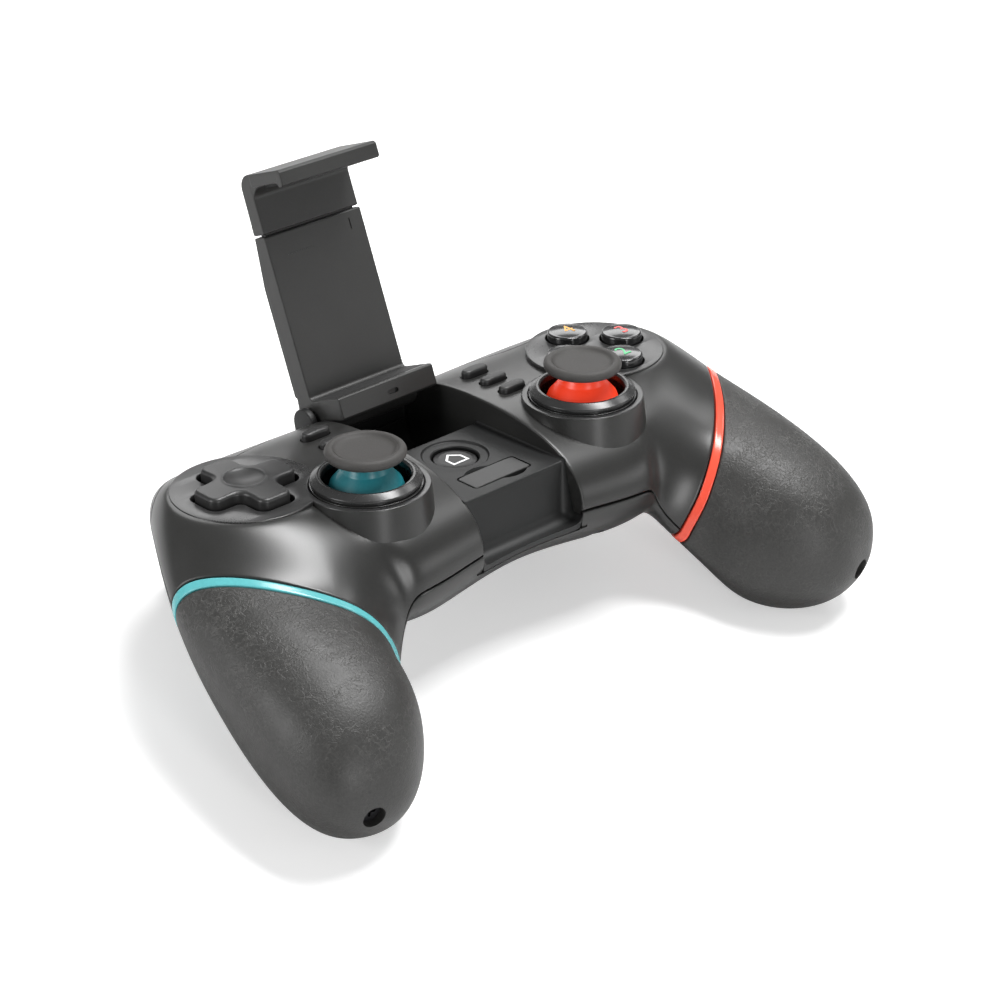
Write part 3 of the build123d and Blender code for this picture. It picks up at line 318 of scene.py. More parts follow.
# %% Finishes of the inner parts
FINISHES.update({
    "steel": moulded("Steel", (168, 168, 170), 0.3, 0.2, 0.002, 0.1, 0.0, Metallic=1.0),
    "black_steel": moulded("Blackened steel", (46, 46, 48), 0.42, 0.2, 0.002, 0.1, 0.0, Metallic=0.8),
    "mechanism": moulded("Mechanism nylon", (60, 60, 60), 0.5, 0.3, 0.004),
    "mat_silicone": moulded("Silicone mat", (150, 150, 146), 0.55, 0.4, 0.004),
    "board": moulded("Circuit board", (22, 66, 40), 0.35, 0.8, 0.004),
    "cell_wrap": moulded("Battery wrap", (120, 128, 140), 0.4, 0.8, 0.004),
})
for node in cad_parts.values():
    for number, packed_one in enumerate(node.data.materials):
        node.data.materials[number] = FINISHES[packed_one.name.split(".")[0]].material
print("finishes set on", len(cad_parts), "solids")

# %% [markdown]
# ## From arrays to pieces
# Every piece starts as arrays of points and faces. The mesh is welded, its faces turned outwards, and it is
# shaded smooth except at edges sharper than a limit.


# %% Meshes from arrays
def mesh_of(points, faces):
    """A welded mesh with outward faces, from points in metres and an array of quads or triangles."""
    mesh = bpy.data.meshes.new("mesh")
    mesh.from_pydata(np.asarray(points, float).reshape(-1, 3), [], faces)
    work = bmesh.new()
    work.from_mesh(mesh)
    bmesh.ops.remove_doubles(work, verts=work.verts, dist=2e-6)
    bmesh.ops.recalc_face_normals(work, faces=work.faces)
    if work.calc_volume(signed=True) < 0:
        bmesh.ops.reverse_faces(work, faces=work.faces)
    work.to_mesh(mesh)
    work.free()
    mesh.validate()
    return mesh


def piece(name, mesh, body, slot=None, replaces=(), finish=None, sharp=32, flat=False):
    """Links a mesh as a piece that rides on a body, in place of CAD nodes, in its slot's finish or another.
    flat keeps the shading of large faces level right up to their rounded edges."""
    obj = linked(name, mesh)
    mesh.name = name
    mesh.materials.clear()
    mesh.materials.append((finish or FINISHES[slot]).material)
    mesh.shade_smooth()
    mesh.set_sharp_from_angle(angle=math.radians(sharp))
    if flat:
        obj.modifiers.new("level shading", "WEIGHTED_NORMAL").keep_sharp = True
    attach(obj, body)
    if replaces:
        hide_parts(*replaces)
    return obj


def joined(*meshes):
    """One mesh that holds several closed ones."""
    work = bmesh.new()
    for mesh in meshes:
        work.from_mesh(mesh)
    made = bpy.data.meshes.new("mesh")
    work.to_mesh(made)
    work.free()
    return made


def carve(mesh, cutters, operation="DIFFERENCE"):
    """The mesh with each cutter taken away, or with only the part inside it kept."""
    obj = linked("carved", mesh)
    tools = [linked("cutter", cutter) for cutter in cutters]
    for tool in tools:
        step = obj.modifiers.new("cut", "BOOLEAN")
        step.operation, step.solver, step.object = operation, "EXACT", tool
    bpy.context.view_layer.update()
    made = bpy.data.meshes.new_from_object(obj.evaluated_get(bpy.context.evaluated_depsgraph_get()))
    for used in (obj, *tools):
        bpy.data.objects.remove(used)
    return made


def points_of(mesh):
    points = np.empty(len(mesh.vertices) * 3)
    mesh.vertices.foreach_get("co", points)
    return points.reshape(-1, 3)


def filled(curve):
    """A flat curve or a text as points and faces."""
    obj = bpy.data.objects.new("filled", curve)
    made = bpy.data.meshes.new_from_object(obj)
    bpy.data.objects.remove(obj)
    return points_of(made), [tuple(f.vertices) for f in made.polygons]


# %% [markdown]
# A wall is two grids of the same size, the outside and the inside, joined by a rim wherever faces stop. The
# rim closes holes in the same way as outer edges, so any cut-out leaves a solid wall.


# %% Walls from two grids
def grid_faces(rows, columns, wrap=False):
    """Quads of a rows by columns grid; wrap joins the last column to the first."""
    i = np.arange(rows - 1)[:, None]
    j = np.arange(columns if wrap else columns - 1)[None, :]
    k = (j + 1) % columns
    return np.stack([i * columns + j, i * columns + k, (i + 1) * columns + k, (i + 1) * columns + j], -1)


def wall(outer, inner, keep=None, wrap=False, side=1):
    """A closed wall between two grids in deck millimetres; keep is a yes or no for each quad, and side -1
    makes the mirror image."""
    rows, columns = outer.shape[:2]
    quads = grid_faces(rows, columns, wrap)
    quads = quads.reshape(-1, 4) if keep is None else quads[keep]
    edges = np.concatenate([quads[:, [k, (k + 1) % 4]] for k in range(4)])
    count = rows * columns
    forward = edges[:, 0] * count + edges[:, 1]
    alone = edges[~np.isin(forward, edges[:, 1] * count + edges[:, 0])]
    rim = np.stack([alone[:, 1], alone[:, 0], alone[:, 0] + count, alone[:, 1] + count], -1)
    faces = np.concatenate([quads, quads[:, ::-1] + count, rim])
    points = np.concatenate([outer.reshape(-1, 3), inner.reshape(-1, 3)]) * (side, 1, 1)
    return mesh_of(place(points), faces)


def rolled(points, normals, radius, thick, rows=(True, True), columns=(True, True)):
    """Outer and inner grids whose edges roll inwards: past an edge the surface follows a quarter circle,
    radius times sine outwards and radius times one less cosine inwards."""
    turn = np.radians([90.0, 60.0, 30.0])
    shapes = []
    for axis, ends in enumerate((rows, columns)):
        n = points.shape[axis]
        first, last = turn if ends[0] else turn[:0], turn[::-1] if ends[1] else turn[:0]
        index = np.r_[np.zeros(len(first), int), np.arange(n), np.full(len(last), n - 1)]
        angle = np.r_[first, np.zeros(n), last]
        shapes.append((index, angle))
    (ri, ra), (ci, ca) = shapes
    past_row, past_column = np.zeros_like(points), np.zeros_like(points)
    past_row[0], past_row[-1] = unit(points[0] - points[1]), unit(points[-1] - points[-2])
    past_column[:, 0] = unit(points[:, 0] - points[:, 1])
    past_column[:, -1] = unit(points[:, -1] - points[:, -2])
    cells = np.ix_(ri, ci)
    a, b = ra[:, None, None], ca[None, :, None]
    along = radius * (np.sin(a) * past_row[cells] + np.sin(b) * past_column[cells])
    outer = points[cells] + along - radius * (2 - np.cos(a) - np.cos(b)) * normals[cells]
    inner = points[cells] + along - thick * normals[cells]
    return outer, inner


# %% [markdown]
# Round parts are turned profiles, and flat parts are outlines with rounded corners. Blender's flat curve
# fills an outline with holes and rounds its edges, and the result becomes a mesh before it is put in place.


# %% Outlines, turned parts and plates
def rounded(corners, radii, closed=True, steps=7):
    """A polygon whose corners are arcs that touch both sides: slerp between the two touching radii."""
    c = np.asarray(corners, float)
    r = np.broadcast_to(np.asarray(radii, float), len(c)).copy()
    if not closed:
        r[[0, -1]] = 0
    u, v = unit(np.roll(c, 1, 0) - c), unit(np.roll(c, -1, 0) - c)
    half = np.arccos(np.clip((u * v).sum(1), -0.999999, 0.999999)) / 2
    middle = c + unit(u + v) * (r / np.sin(half))[:, None]
    a, b = c + u * (r / np.tan(half))[:, None] - middle, c + v * (r / np.tan(half))[:, None] - middle
    w = (np.pi - 2 * half)[:, None, None]
    t = np.linspace(0, 1, steps)[None, :, None]
    arcs = middle[:, None] + (np.sin((1 - t) * w) * a[:, None] + np.sin(t * w) * b[:, None]) / np.sin(w)
    path = arcs.reshape(-1, 2)
    ahead = np.linalg.norm(np.roll(path, -1, 0) - path, axis=1) > 1e-6
    if not closed:
        ahead[-1] = True
    return path[ahead]


def around(a):
    """Unit vectors at angles."""
    return np.stack([np.cos(a), np.sin(a)], -1)


def rectangle(x0, x1, y0, y1):
    return np.array([(x0, y0), (x1, y0), (x1, y1), (x0, y1)], float)


def arc(centre, radius, start, end, count):
    """Points on an arc about a centre, between two angles in degrees."""
    a = np.radians(np.linspace(start, end, count))
    return centre + radius * around(a)


def circle(x, y, radius, count=72):
    """A circle, anticlockwise."""
    return (x, y) + radius * around(np.arange(count) * 2 * np.pi / count)


def turned(centre, profile, count=96, axes=None):
    """A profile of (radius, height) carried round a line: the closed loop turned into a grid."""
    profile = np.asarray(profile, float)
    ring = circle(0, 0, 1, count)
    grid = np.empty((len(profile) + 1, count, 3))
    loop = np.concatenate([profile, profile[:1]])
    grid[..., :2] = loop[:, None, :1] * ring[None]
    grid[..., 2] = loop[:, 1:2]
    if axes is not None:
        grid = grid @ np.asarray(axes, float)
    return mesh_of(place(grid + centre), grid_faces(*grid.shape[:2], True).reshape(-1, 4))


def plate(outlines, low, high, edge, put):
    """A plate between two heights from a rim and holes, its edges rounded; put moves its points."""
    curve = bpy.data.curves.new("plate", "CURVE")
    curve.dimensions, curve.fill_mode = "2D", "BOTH"
    curve.extrude, curve.bevel_depth, curve.offset = (high - low) / 2 - edge, edge, -edge
    curve.bevel_resolution = 2
    for number, loop in enumerate(outlines):
        x, y = loop.T
        area = (x * np.roll(y, -1) - y * np.roll(x, -1)).sum()
        if (area > 0) == (number > 0):
            loop = loop[::-1]
        line = curve.splines.new("POLY")
        line.points.add(len(loop) - 1)
        line.points.foreach_set("co", np.c_[loop, np.zeros(len(loop)), np.ones(len(loop))].ravel())
        line.use_cyclic_u = True
    points, faces = filled(curve)
    return mesh_of(put(points + (0, 0, (high + low) / 2)), faces)


# %% [markdown]
# ## The body's surface
# The body and grips are one smooth form. Eight cross-sections describe a half, each by its inner and outer
# edge on the deck, the height of both, the rise above them and the drop below, how far the crest lies from
# the middle towards the outer edge, and how round the outer shoulder is. A cubic spline runs through the
# sections of both halves, and each section is four Bezier quarters.

# %% Cross-sections
SECTION_AT = np.array([0.0, 0.12, 0.26, 0.40, 0.54, 0.70, 0.85, 1.0])
SECTIONS = np.array([
    (0.0, 6.0, 0.0, 62.4, -15.9, -13.0, 13.7, 14.5, 0.0, 0.66),
    (23.6, 4.1, 26.5, 62.7, -17.0, -12.3, 14.0, 15.3, -0.15, 0.66),
    (33.6, 3.9, 51.3, 61.4, -18.2, -11.1, 14.2, 12.9, -0.30, 0.66),
    (37.4, 3.8, 66.2, 45.6, -24.8, -7.3, 17.3, 9.7, -0.25, 0.58),
    (43.4, -1.9, 75.2, 28.3, -33.0, -12.8, 18.0, 12.0, -0.42, 0.46),
    (46.8, -11.0, 79.3, 12.8, -34.8, -20.4, 17.4, 18.8, -0.32, 0.54),
    (51.6, -21.6, 83.5, -7.1, -34.7, -29.5, 17.0, 20.0, -0.15, 0.62),
    (56.6, -27.2, 83.1, -22.1, -35.3, -35.0, 12.9, 12.9, 0.0, 0.66),
])
TOP_ROUND, LOW_ROUND = 0.66, 0.62
FACE_LEVEL, FACE_BLEND = -0.12, 0.45
END_FROM, END_POWER = 0.6, 2.3


def spline(at, rows):
    """The cubic spline through rows, as a function of the place. Its second derivatives solve the usual
    equations, with no jump of the third derivative at the first and last inner knots, and its value is two
    cubics weighted from the knots on both sides."""
    h = np.diff(at)
    n = len(at)
    system, right = np.zeros((n, n)), np.zeros(rows.shape)
    i = np.arange(1, n - 1)
    system[i, i - 1], system[i, i], system[i, i + 1] = h[:-1], 2 * (h[:-1] + h[1:]), h[1:]
    slope = np.diff(rows, axis=0) / h[:, None]
    right[1:-1] = 6 * np.diff(slope, axis=0)
    system[0, :3] = h[1], -(h[0] + h[1]), h[0]
    system[-1, -3:] = h[-1], -(h[-2] + h[-1]), h[-2]
    bends = np.linalg.solve(system, right)

    def value(t):
        i = np.clip(np.searchsorted(at, t) - 1, 0, n - 2)
        h = (at[i + 1] - at[i])[..., None]
        a = (at[i + 1] - t)[..., None] / h
        b = 1 - a
        bend = ((a**3 - a) * bends[i] + (b**3 - b) * bends[i + 1]) * h * h / 6
        return a * rows[i] + b * rows[i + 1] + bend

    return value


MIRROR = np.array([-1, 1, -1, 1, 1, 1, 1, 1, 1, 1])
section = spline(np.r_[-SECTION_AT[:0:-1], SECTION_AT], np.concatenate([SECTIONS[:0:-1] * MIRROR, SECTIONS]))


def outline(a, crest, shoulder):
    """Across and up, -1 to 1, of a section outline at a quarter turns from its outer edge over the top: the
    Bezier sums b0 p0 + b1 p1 + b2 p2 + b3 p3 of each quarter."""
    a = np.mod(a, 4.0)
    quarter = np.minimum(a.astype(int), 3)
    t = a - quarter
    b0, b1, b2, b3 = (1 - t) ** 3, 3 * t * (1 - t) ** 2, 3 * t * t * (1 - t), t**3
    over_outer = b0 + b1 + (crest + shoulder * (1 - crest)) * b2 + crest * b3, shoulder * b1 + b2 + b3
    over_inner = crest * b0 + (crest - TOP_ROUND * (1 + crest)) * b1 - b2 - b3, b0 + b1 + TOP_ROUND * b2
    near, far = b0 + b1 + LOW_ROUND * b2, LOW_ROUND * b1 + b2 + b3
    across = np.choose(quarter, [over_outer[0], over_inner[0], -near, far])
    up = np.choose(quarter, [over_outer[1], over_inner[1], -far, -near])
    return across, up


def body_point(s, a):
    """A point of the body: the middle of section s plus its half size times the outline, in deck mm.
    Towards the grip ends the sizes shrink as (1 - q^n)^(1/n), and the top levels off softly at the control
    faces by (z + c - sqrt((z - c)^2 + e^2)) / 2."""
    s, a = np.broadcast_arrays(np.asarray(s, float), np.asarray(a, float))
    row = section(s)
    q = np.clip((np.abs(s) - END_FROM) / (1 - END_FROM), 0, 1)
    size = (1 - q**END_POWER) ** (1 / END_POWER)
    across, up = outline(a, row[..., 8], row[..., 9])
    reach = across * size / 2
    x = (row[..., 0] + row[..., 2]) / 2 + (row[..., 2] - row[..., 0]) * reach
    y = (row[..., 1] + row[..., 3]) / 2 + (row[..., 3] - row[..., 1]) * reach
    z = (row[..., 4] + row[..., 5]) / 2 + (row[..., 5] - row[..., 4]) * reach
    z = z + np.where(up > 0, row[..., 6], row[..., 7]) * up * size
    z = (z + FACE_LEVEL - np.sqrt((z - FACE_LEVEL) ** 2 + FACE_BLEND**2)) / 2
    return np.stack([x, y, z], -1)


def body_normal(s, a):
    """Outward normals: the cross product of the slopes round and along the body."""
    s = np.clip(s, -0.997, 0.997)
    along = body_point(s + 0.002, a) - body_point(s - 0.002, a)
    across = body_point(s, a + 0.004) - body_point(s, a - 0.004)
    return unit(np.cross(across, along))


def find(measure, low, high, shape):
    """Where a rising measure passes zero, by halving the range 40 times for a whole array."""
    low, high = np.full(shape, float(low)), np.full(shape, float(high))
    for _ in range(40):
        middle = (low + high) / 2
        above = measure(middle) > 0
        high, low = np.where(above, middle, high), np.where(above, low, middle)
    return (low + high) / 2


BAND_NORMAL = np.array([0.682, -0.697, -0.220])
BAND_AT, BAND_WIDTH = 35.08, 2.0
# Quarter turns round the body, and how far the band strays from its plane there
BAND_SWAY = np.array([
    (0.0, -0.3), (0.15, -0.9), (0.3, -1.3), (0.45, -1.1), (0.6, -0.6), (0.75, 0.0), (0.9, 0.35),
    (1.1, 0.42), (1.3, 0.2), (1.5, -0.2), (1.7, -0.85), (1.9, -2.0), (2.1, -3.1), (2.33, -4.0),
    (2.7, -4.0), (3.1, -2.6), (3.6, -0.9), (4.0, -0.3),
])
band_sway = spline(BAND_SWAY[:, 0], BAND_SWAY[:, 1:])


def s_at_x(a, x):
    return find(lambda s: body_point(s, a)[..., 0] - x, 0.0, 0.3, np.shape(a))


def s_at_band(a, further):
    at = BAND_AT + band_sway(np.mod(a, 4.0))[..., 0] + further
    return find(lambda s: body_point(s, a) @ BAND_NORMAL - at, 0.3, 0.85, np.shape(a))


whole_half = body_point(np.linspace(0, 1, 200)[:, None], np.linspace(0, 4, 80))
print("body half width", round(whole_half[..., 0].max(), 2))

# %% [markdown]
# ## Upper skin
# Each half of the upper shell is one sheet: it climbs the channel's side wall, rolls over its top edge and
# runs to the coloured band. Its edges roll inwards with a small radius, which is what makes a moulded part's
# gap look like one. Under the stick tower and the round face the skin is left out. The left half is the
# mirror image of the right one.

# %% Upper skin
CHANNEL_HALF, CHANNEL_WALL = 14.0, 1.6
STICK, DISC = (30.4, 21.85), (49.2, 36.9)
TOWER_TOP_R, TOWER_FOOT_R, TOWER_DEPTH = 13.0, 14.0, 9.5
DISC_R = 15.2
BAR_X, BAR_YS = 22.5, (47.1, 41.2, 35.3)
PARTING = 0.023
EDGE_ROLL, SKIN_THICK = 0.35, 1.4
FLOOR_Z, RECESS_Z, PIT_Z = -6.56, -19.2, -19.5
BUMPER_OUTLINE = np.array(
    [(27, 56.5), (38, 54), (56, 54), (66, 47.5), (74, 41), (82, 50), (82, 78), (27, 78)], float
)
BUMPER_LOW, BUMPER_PRESS = -11.5, 1.2
SHELL_GAP = 0.3
BAR_HOLE = (7.4, 3.2)
SIDES = ((-1, "left"), (1, "right"))


def prism(outline_points, low, high, put):
    """A straight-sided cutter between two heights from an outline."""
    n = len(outline_points)
    points = np.concatenate([np.c_[outline_points, np.full(n, z)] for z in (low, high)])
    i = np.arange(n)
    sides = [tuple(q) for q in np.stack([i, (i + 1) % n, (i + 1) % n + n, i + n], -1).tolist()]
    return mesh_of(put(points), sides + [tuple(range(n))[::-1], tuple(range(n, 2 * n))])


def outward(outline_points, amount):
    """An outline moved out by an amount, corner by corner along its mitres."""
    p = np.asarray(outline_points, float)
    x, y = p.T
    turn = np.sign((x * np.roll(y, -1) - y * np.roll(x, -1)).sum())
    ahead = unit(np.roll(p, -1, 0) - p)
    side = turn * np.stack([ahead[:, 1], -ahead[:, 0]], -1)
    before = np.roll(side, 1, 0)
    mitre = (side + before) / np.maximum(1 + (side * before).sum(1, keepdims=True), 0.2)
    return p + amount * mitre


def stadium(x, y, length, width):
    """A bar with round ends along x."""
    r = width / 2
    right = arc((length / 2 - r, 0), r, -90, 90, 15)
    return np.concatenate([right, -right]) + (x, y)


def mirrored(points, side):
    return points * (side, 1)


def bumper_window(side):
    """The shoulder button's outline with a gap around it and room to press in below it."""
    gap = mirrored(outward(BUMPER_OUTLINE, SHELL_GAP), side)
    return prism(gap, BUMPER_LOW - BUMPER_PRESS, 10, place)


def bar_holes(side, low, high):
    return [prism(mirrored(stadium(BAR_X, y, *BAR_HOLE), side), low, high, place) for y in BAR_YS]


def channel_side(outer, inner):
    """Rows that go down from a sheet's first edge to the channel's floor, and the inside kept off the wall.
    The floor's height drifts by 3 % of place and height, so that no two columns end in one point."""
    edge = outer[0]
    floor = np.interp(edge[:, 1], [9.3, 11.5, 37.2, 38.0, 60.8, 61.2],
                      [RECESS_Z - 1, FLOOR_Z - 1, FLOOR_Z - 1, PIT_Z - 1, PIT_Z - 1, -14])
    lowest = edge[:, 2] - 0.4
    floor = np.minimum(floor, lowest) + 0.03 * edge[:, 2] + 0.03 * edge[:, 1]
    share = np.linspace(1, 0, 13)[:-1, None]
    down = edge[None, :, 2] + (np.minimum(floor, lowest) - edge[:, 2]) * share
    rows = np.stack([np.full_like(down, CHANNEL_HALF), np.broadcast_to(edge[:, 1], down.shape), down], -1)
    behind = rows + (CHANNEL_WALL, 0, 0)
    behind[..., 2] = np.minimum(behind[..., 2], inner[0][None, :, 2])
    inner = inner.copy()
    inner[..., 0] = np.maximum(inner[..., 0], CHANNEL_HALF + CHANNEL_WALL)
    return np.concatenate([rows, outer]), np.concatenate([behind, inner])


def upper_skin():
    a = np.linspace(PARTING, 2 - PARTING, 200)
    start = s_at_x(a, CHANNEL_HALF + EDGE_ROLL)
    end = s_at_band(a, -EDGE_ROLL)
    s = start + (end - start) * np.linspace(0, 1, 170)[:, None]
    points, normals = body_point(s, a), body_normal(s, a)
    outer, inner = channel_side(*rolled(points, normals, EDGE_ROLL, SKIN_THICK))
    middle = (outer[:-1, :-1] + outer[1:, 1:]) / 2
    off_tower = np.hypot(middle[..., 0] - STICK[0], middle[..., 1] - STICK[1]) > TOWER_TOP_R - 0.35
    off_disc = np.hypot(middle[..., 0] - DISC[0], middle[..., 1] - DISC[1]) > DISC_R - 0.75
    low = (middle[..., 2] < -11) | (middle[..., 0] < CHANNEL_HALF + 1)
    keep = (off_tower & off_disc) | low
    skin = wall(outer, inner, keep)
    return carve(skin, [bumper_window(1), *bar_holes(1, -6, 6)])


def other_hand(mesh):
    """The mesh's mirror image on the left."""
    twin = mesh.copy()
    twin.vertices.foreach_set("co", (points_of(mesh) * (-1, 1, 1)).ravel())
    twin.flip_normals()
    return twin


right_skin = upper_skin()
skins = [other_hand(right_skin), right_skin]
print("upper skins with", [len(m.polygons) for m in skins], "faces")

# %% [markdown]
# Behind the clip's hinge only a low strip of the shell crosses the middle. It is the same surface between
# the channel's walls, hollowed where the hinge knuckle turns.

# %% Back strip
HINGE = np.array([59.43, -4.67])
KNUCKLE_SPACE_R = 5.3


def sideways(p):
    """A side profile's point (y, height, x) put on the deck."""
    return place(p[..., [2, 0, 1]])


def back_strip():
    s = np.linspace(-0.078, 0.078, 40)[:, None]
    a = np.linspace(PARTING, 0.9, 40)
    outer, inner = rolled(body_point(s, a), body_normal(s, a), 0.3, SKIN_THICK)
    bowl = arc(HINGE, KNUCKLE_SPACE_R, -75, 90, 30)
    space = np.concatenate([[(30, 20), (30, -30), (60.8, -30)], bowl, [(HINGE[0], 20)]])
    return carve(wall(outer, inner), [prism(space, -20, 20, sideways)])


upper = piece("top_cover_skin", joined(*skins, back_strip()), "body", "body_plastic", ["top_cover"])
print("upper cover", len(upper.data.polygons), "faces")

# %% [markdown]
# ## Channel
# The clip folds into a channel with an upright front, a flat floor for the home button and key, and a deep
# pit for the hinge. Its floor is a path carried across, with a fillet at both walls. A dish is cut for the
# home button, and a hole with two finger scoops for the key.

# %% Channel floor
FLOOR_PATH = [(4.0, RECESS_Z), (9.9, RECESS_Z), (11.1, FLOOR_Z), (37.6, FLOOR_Z), (37.6, PIT_Z),
              (60.8, PIT_Z), (60.8, -8.5)]
FLOOR_ROUNDS = [0, 2.6, 0.45, 0.45, 2.0, 2.0, 0]
HOME, HOME_DISH_R, HOME_BORE_R, HOME_R = (0.0, 29.0), 7.2, 5.05, 4.75
KEY_HALF, KEY_FRONT, KEY_BACK = 7.75, 14.2, 20.05
EAR_R = 3.3


def front_y(x, z):
    """Where the body's front is at x and height z."""
    s = s_at_x(np.full(np.shape(x), 2.1), np.abs(x))
    a = find(lambda v: z - body_point(s, v)[..., 2], 1.5, 2.7, np.shape(x))
    return body_point(s, a)[..., 1]


def channel_sheet(path, half, fillet):
    """The floor carried across: flat, a quarter circle of the fillet's radius at both walls, and a little
    way into them."""
    ahead = unit(np.gradient(path, axis=0))
    open_side = np.stack([-ahead[:, 1], ahead[:, 0]], -1)
    turn = np.radians(np.linspace(0, 90, 8))
    f = fillet[:, None]
    right_x = np.concatenate([half - f + f * np.sin(turn), np.full((len(path), 1), half + 0.3)], 1)
    right_h = np.concatenate([f - f * np.cos(turn), f], 1)
    flat = (half - f) * np.linspace(-0.9, 0.9, 9)
    x = np.concatenate([-right_x[:, ::-1], flat, right_x], 1)
    h = np.concatenate([right_h[:, ::-1], 0 * flat, right_h], 1)
    yz = path[:, None] + open_side[:, None] * h[..., None]
    return np.stack([x, yz[..., 0], yz[..., 1]], -1)


def channel_floor():
    outer_path = rounded(FLOOR_PATH, FLOOR_ROUNDS, closed=False)
    t = CHANNEL_WALL
    under = np.asarray(FLOOR_PATH) + [(0, -t), (1.46, -t), (1.46, -t), (-t, -t), (-t, -t), (t, -t), (t, 0)]
    inner_path = rounded(under, [0, 4.0, 0.1, 0.1, 3.2, 3.2, 0], closed=False)
    low = smoothstep(-8, -15, outer_path[:, 1]) * (outer_path[:, 0] < 12)
    fillet = 0.7 + 1.5 * low
    outer = channel_sheet(outer_path, CHANNEL_HALF + 0.02, fillet)
    inner = channel_sheet(inner_path, CHANNEL_HALF + 0.9, fillet + 0.5)
    for sheet in (outer, inner):
        first = sheet[0]
        first[:, 1] = front_y(first[:, 0], first[:, 2]) + 0.05
    floor = wall(outer, inner)
    dish = rounded([(0, 3), (7.9, 3), (7.9, 0.03), (HOME_DISH_R, -0.06), (6.9, -0.5), (5.3, -0.5),
                    (HOME_BORE_R, -0.75), (HOME_BORE_R, -5), (0, -5)], [0, 0, 0, 0.12, 0.4, 0.12, 0.1, 0, 0])
    key = rounded(rectangle(-KEY_HALF, KEY_HALF, KEY_FRONT, KEY_BACK), 0.7)
    bowl, longer = [(0, 1.6), (3.6, 1.6), (3.3, 0.2), (2.2, -1.0), (0, -1.5)], np.diag([1.25, 0.75, 1])
    scoops = [turned((x, y, FLOOR_Z), bowl, 48, longer)
              for x, y in ((3.0, KEY_FRONT + 0.9), (-2.2, KEY_BACK - 0.9))]
    hole = prism(outward(key, SHELL_GAP), -12, 0, place)
    return carve(floor, [turned((*HOME, FLOOR_Z), dish), hole, *scoops])


def hinge_ear(side):
    """A round lug beside the knuckle on a foot that grows out of the wall."""
    lug = arc(HINGE, EAR_R, -10, 190, 40)
    foot = np.array([(50.5, -14.0), (60.9, -14.0)])
    low, high = sorted((side * (CHANNEL_HALF + 0.05), side * (CHANNEL_HALF + CHANNEL_WALL + 0.1)))
    return plate([np.concatenate([lug, foot])], low, high, 0.35, sideways)


channel = joined(channel_floor(), hinge_ear(-1), hinge_ear(1))
# The channel takes the near-black plastic whose darkness is painted shade.
piece("top_cover_channel", channel, "body", "body_plastic", finish=channel_shade_plastic, sharp=28)
print("channel", len(channel.polygons), "faces")

# %% [markdown]
# ## Towers and round faces
# On each side a tower for the stick and a disc for the buttons rise out of the skin to one flat level, and
# together look like a figure eight. The flat plate on top has thin rounded edges, and turned walls carry it.

# %% Towers and faces
BUTTON_REACH, BUTTON_R = 8.5, 4.5
DPAD_ARM, DPAD_WIDTH = 10.6, 7.6
BUTTONS = {where: (DISC[0] + BUTTON_REACH * dx, DISC[1] + BUTTON_REACH * dy) for where, dx, dy in
           (("right", 1, 0), ("back", 0, 1), ("left", -1, 0), ("front", 0, -1))}
TOWER_BORE_R, TOWER_WALL, DISC_WALL, FACE_THICK, FACE_EDGE = 11.65, 1.6, 1.3, 1.3, 0.22


def figure_eight():
    """The outline of two overlapping circles: the far arcs of both, joined where they cross."""
    a, b = np.array(STICK), np.array(DISC)
    d = np.linalg.norm(b - a)
    along = (d * d + TOWER_TOP_R**2 - DISC_R**2) / (2 * d)
    heading = math.atan2(*(b - a)[::-1])
    open_a = math.acos(along / TOWER_TOP_R)
    open_b = math.acos((d - along) / DISC_R)
    first = heading + np.linspace(open_a, 2 * np.pi - open_a, 110)
    second = heading + np.pi + np.linspace(open_b, 2 * np.pi - open_b, 130)
    return np.concatenate([a + TOWER_TOP_R * around(first), (b + DISC_R * around(second))[1:-1]])


def cross(arm, half, end_round, inner_round, centre=(0, 0)):
    """A plus shape, anticlockwise, with its end corners and inner corners rounded."""
    quarter = np.array([(arm, -half), (arm, half), (half, half)], float)
    turns = [np.array([[c, -s], [s, c]]) for c, s in ((1, 0), (0, 1), (-1, 0), (0, -1))]
    corners = np.concatenate([quarter @ t.T for t in turns])
    return rounded(corners, [end_round, end_round, inner_round] * 4) + centre


def face_and_tower(side):
    """The plate with its holes, and the two turned walls. The bars' holes go through the tower, and a well
    for the stick through the disc's wall."""
    holes = [circle(*STICK, TOWER_BORE_R, 120)]
    if side > 0:
        holes += [circle(x, y, BUTTON_R + 0.35) for x, y in BUTTONS.values()]
    else:
        holes.append(cross(DPAD_ARM + 0.65, DPAD_WIDTH / 2 + 0.85, 2.3, 1.6, DISC))
    outlines = [mirrored(o, side) for o in (figure_eight(), *holes)]
    top = plate(outlines, -FACE_THICK, 0, FACE_EDGE, place)
    at_stick, at_disc = (side * STICK[0], STICK[1], 0), (side * DISC[0], DISC[1], 0)
    tower = turned(at_stick, [
        (TOWER_TOP_R + 0.01, -FACE_EDGE), (TOWER_FOOT_R, -TOWER_DEPTH),
        (TOWER_FOOT_R - TOWER_WALL, -TOWER_DEPTH), (TOWER_TOP_R - 1.4, -0.4)], 144)
    disc = turned(at_disc, [
        (DISC_R + 0.01, -FACE_EDGE), (DISC_R + 0.01, -TOWER_DEPTH),
        (DISC_R - DISC_WALL, -TOWER_DEPTH), (DISC_R - DISC_WALL, -0.4)], 144)
    well_r = TOWER_BORE_R + 0.05
    well = turned(at_stick, [(0, 0.5), (well_r, 0.5), (well_r, -12), (0, -12)])
    return top, joined(carve(tower, bar_holes(side, -12, -0.3)), carve(disc, [well]))


for side, word in SIDES:
    top, walls = face_and_tower(side)
    piece(f"{word}_face_plate", top, "body", "body_plastic", finish=face_plastic)
    piece(f"{word}_tower_walls", walls, "body", "body_plastic")
print("tower and face tops made")

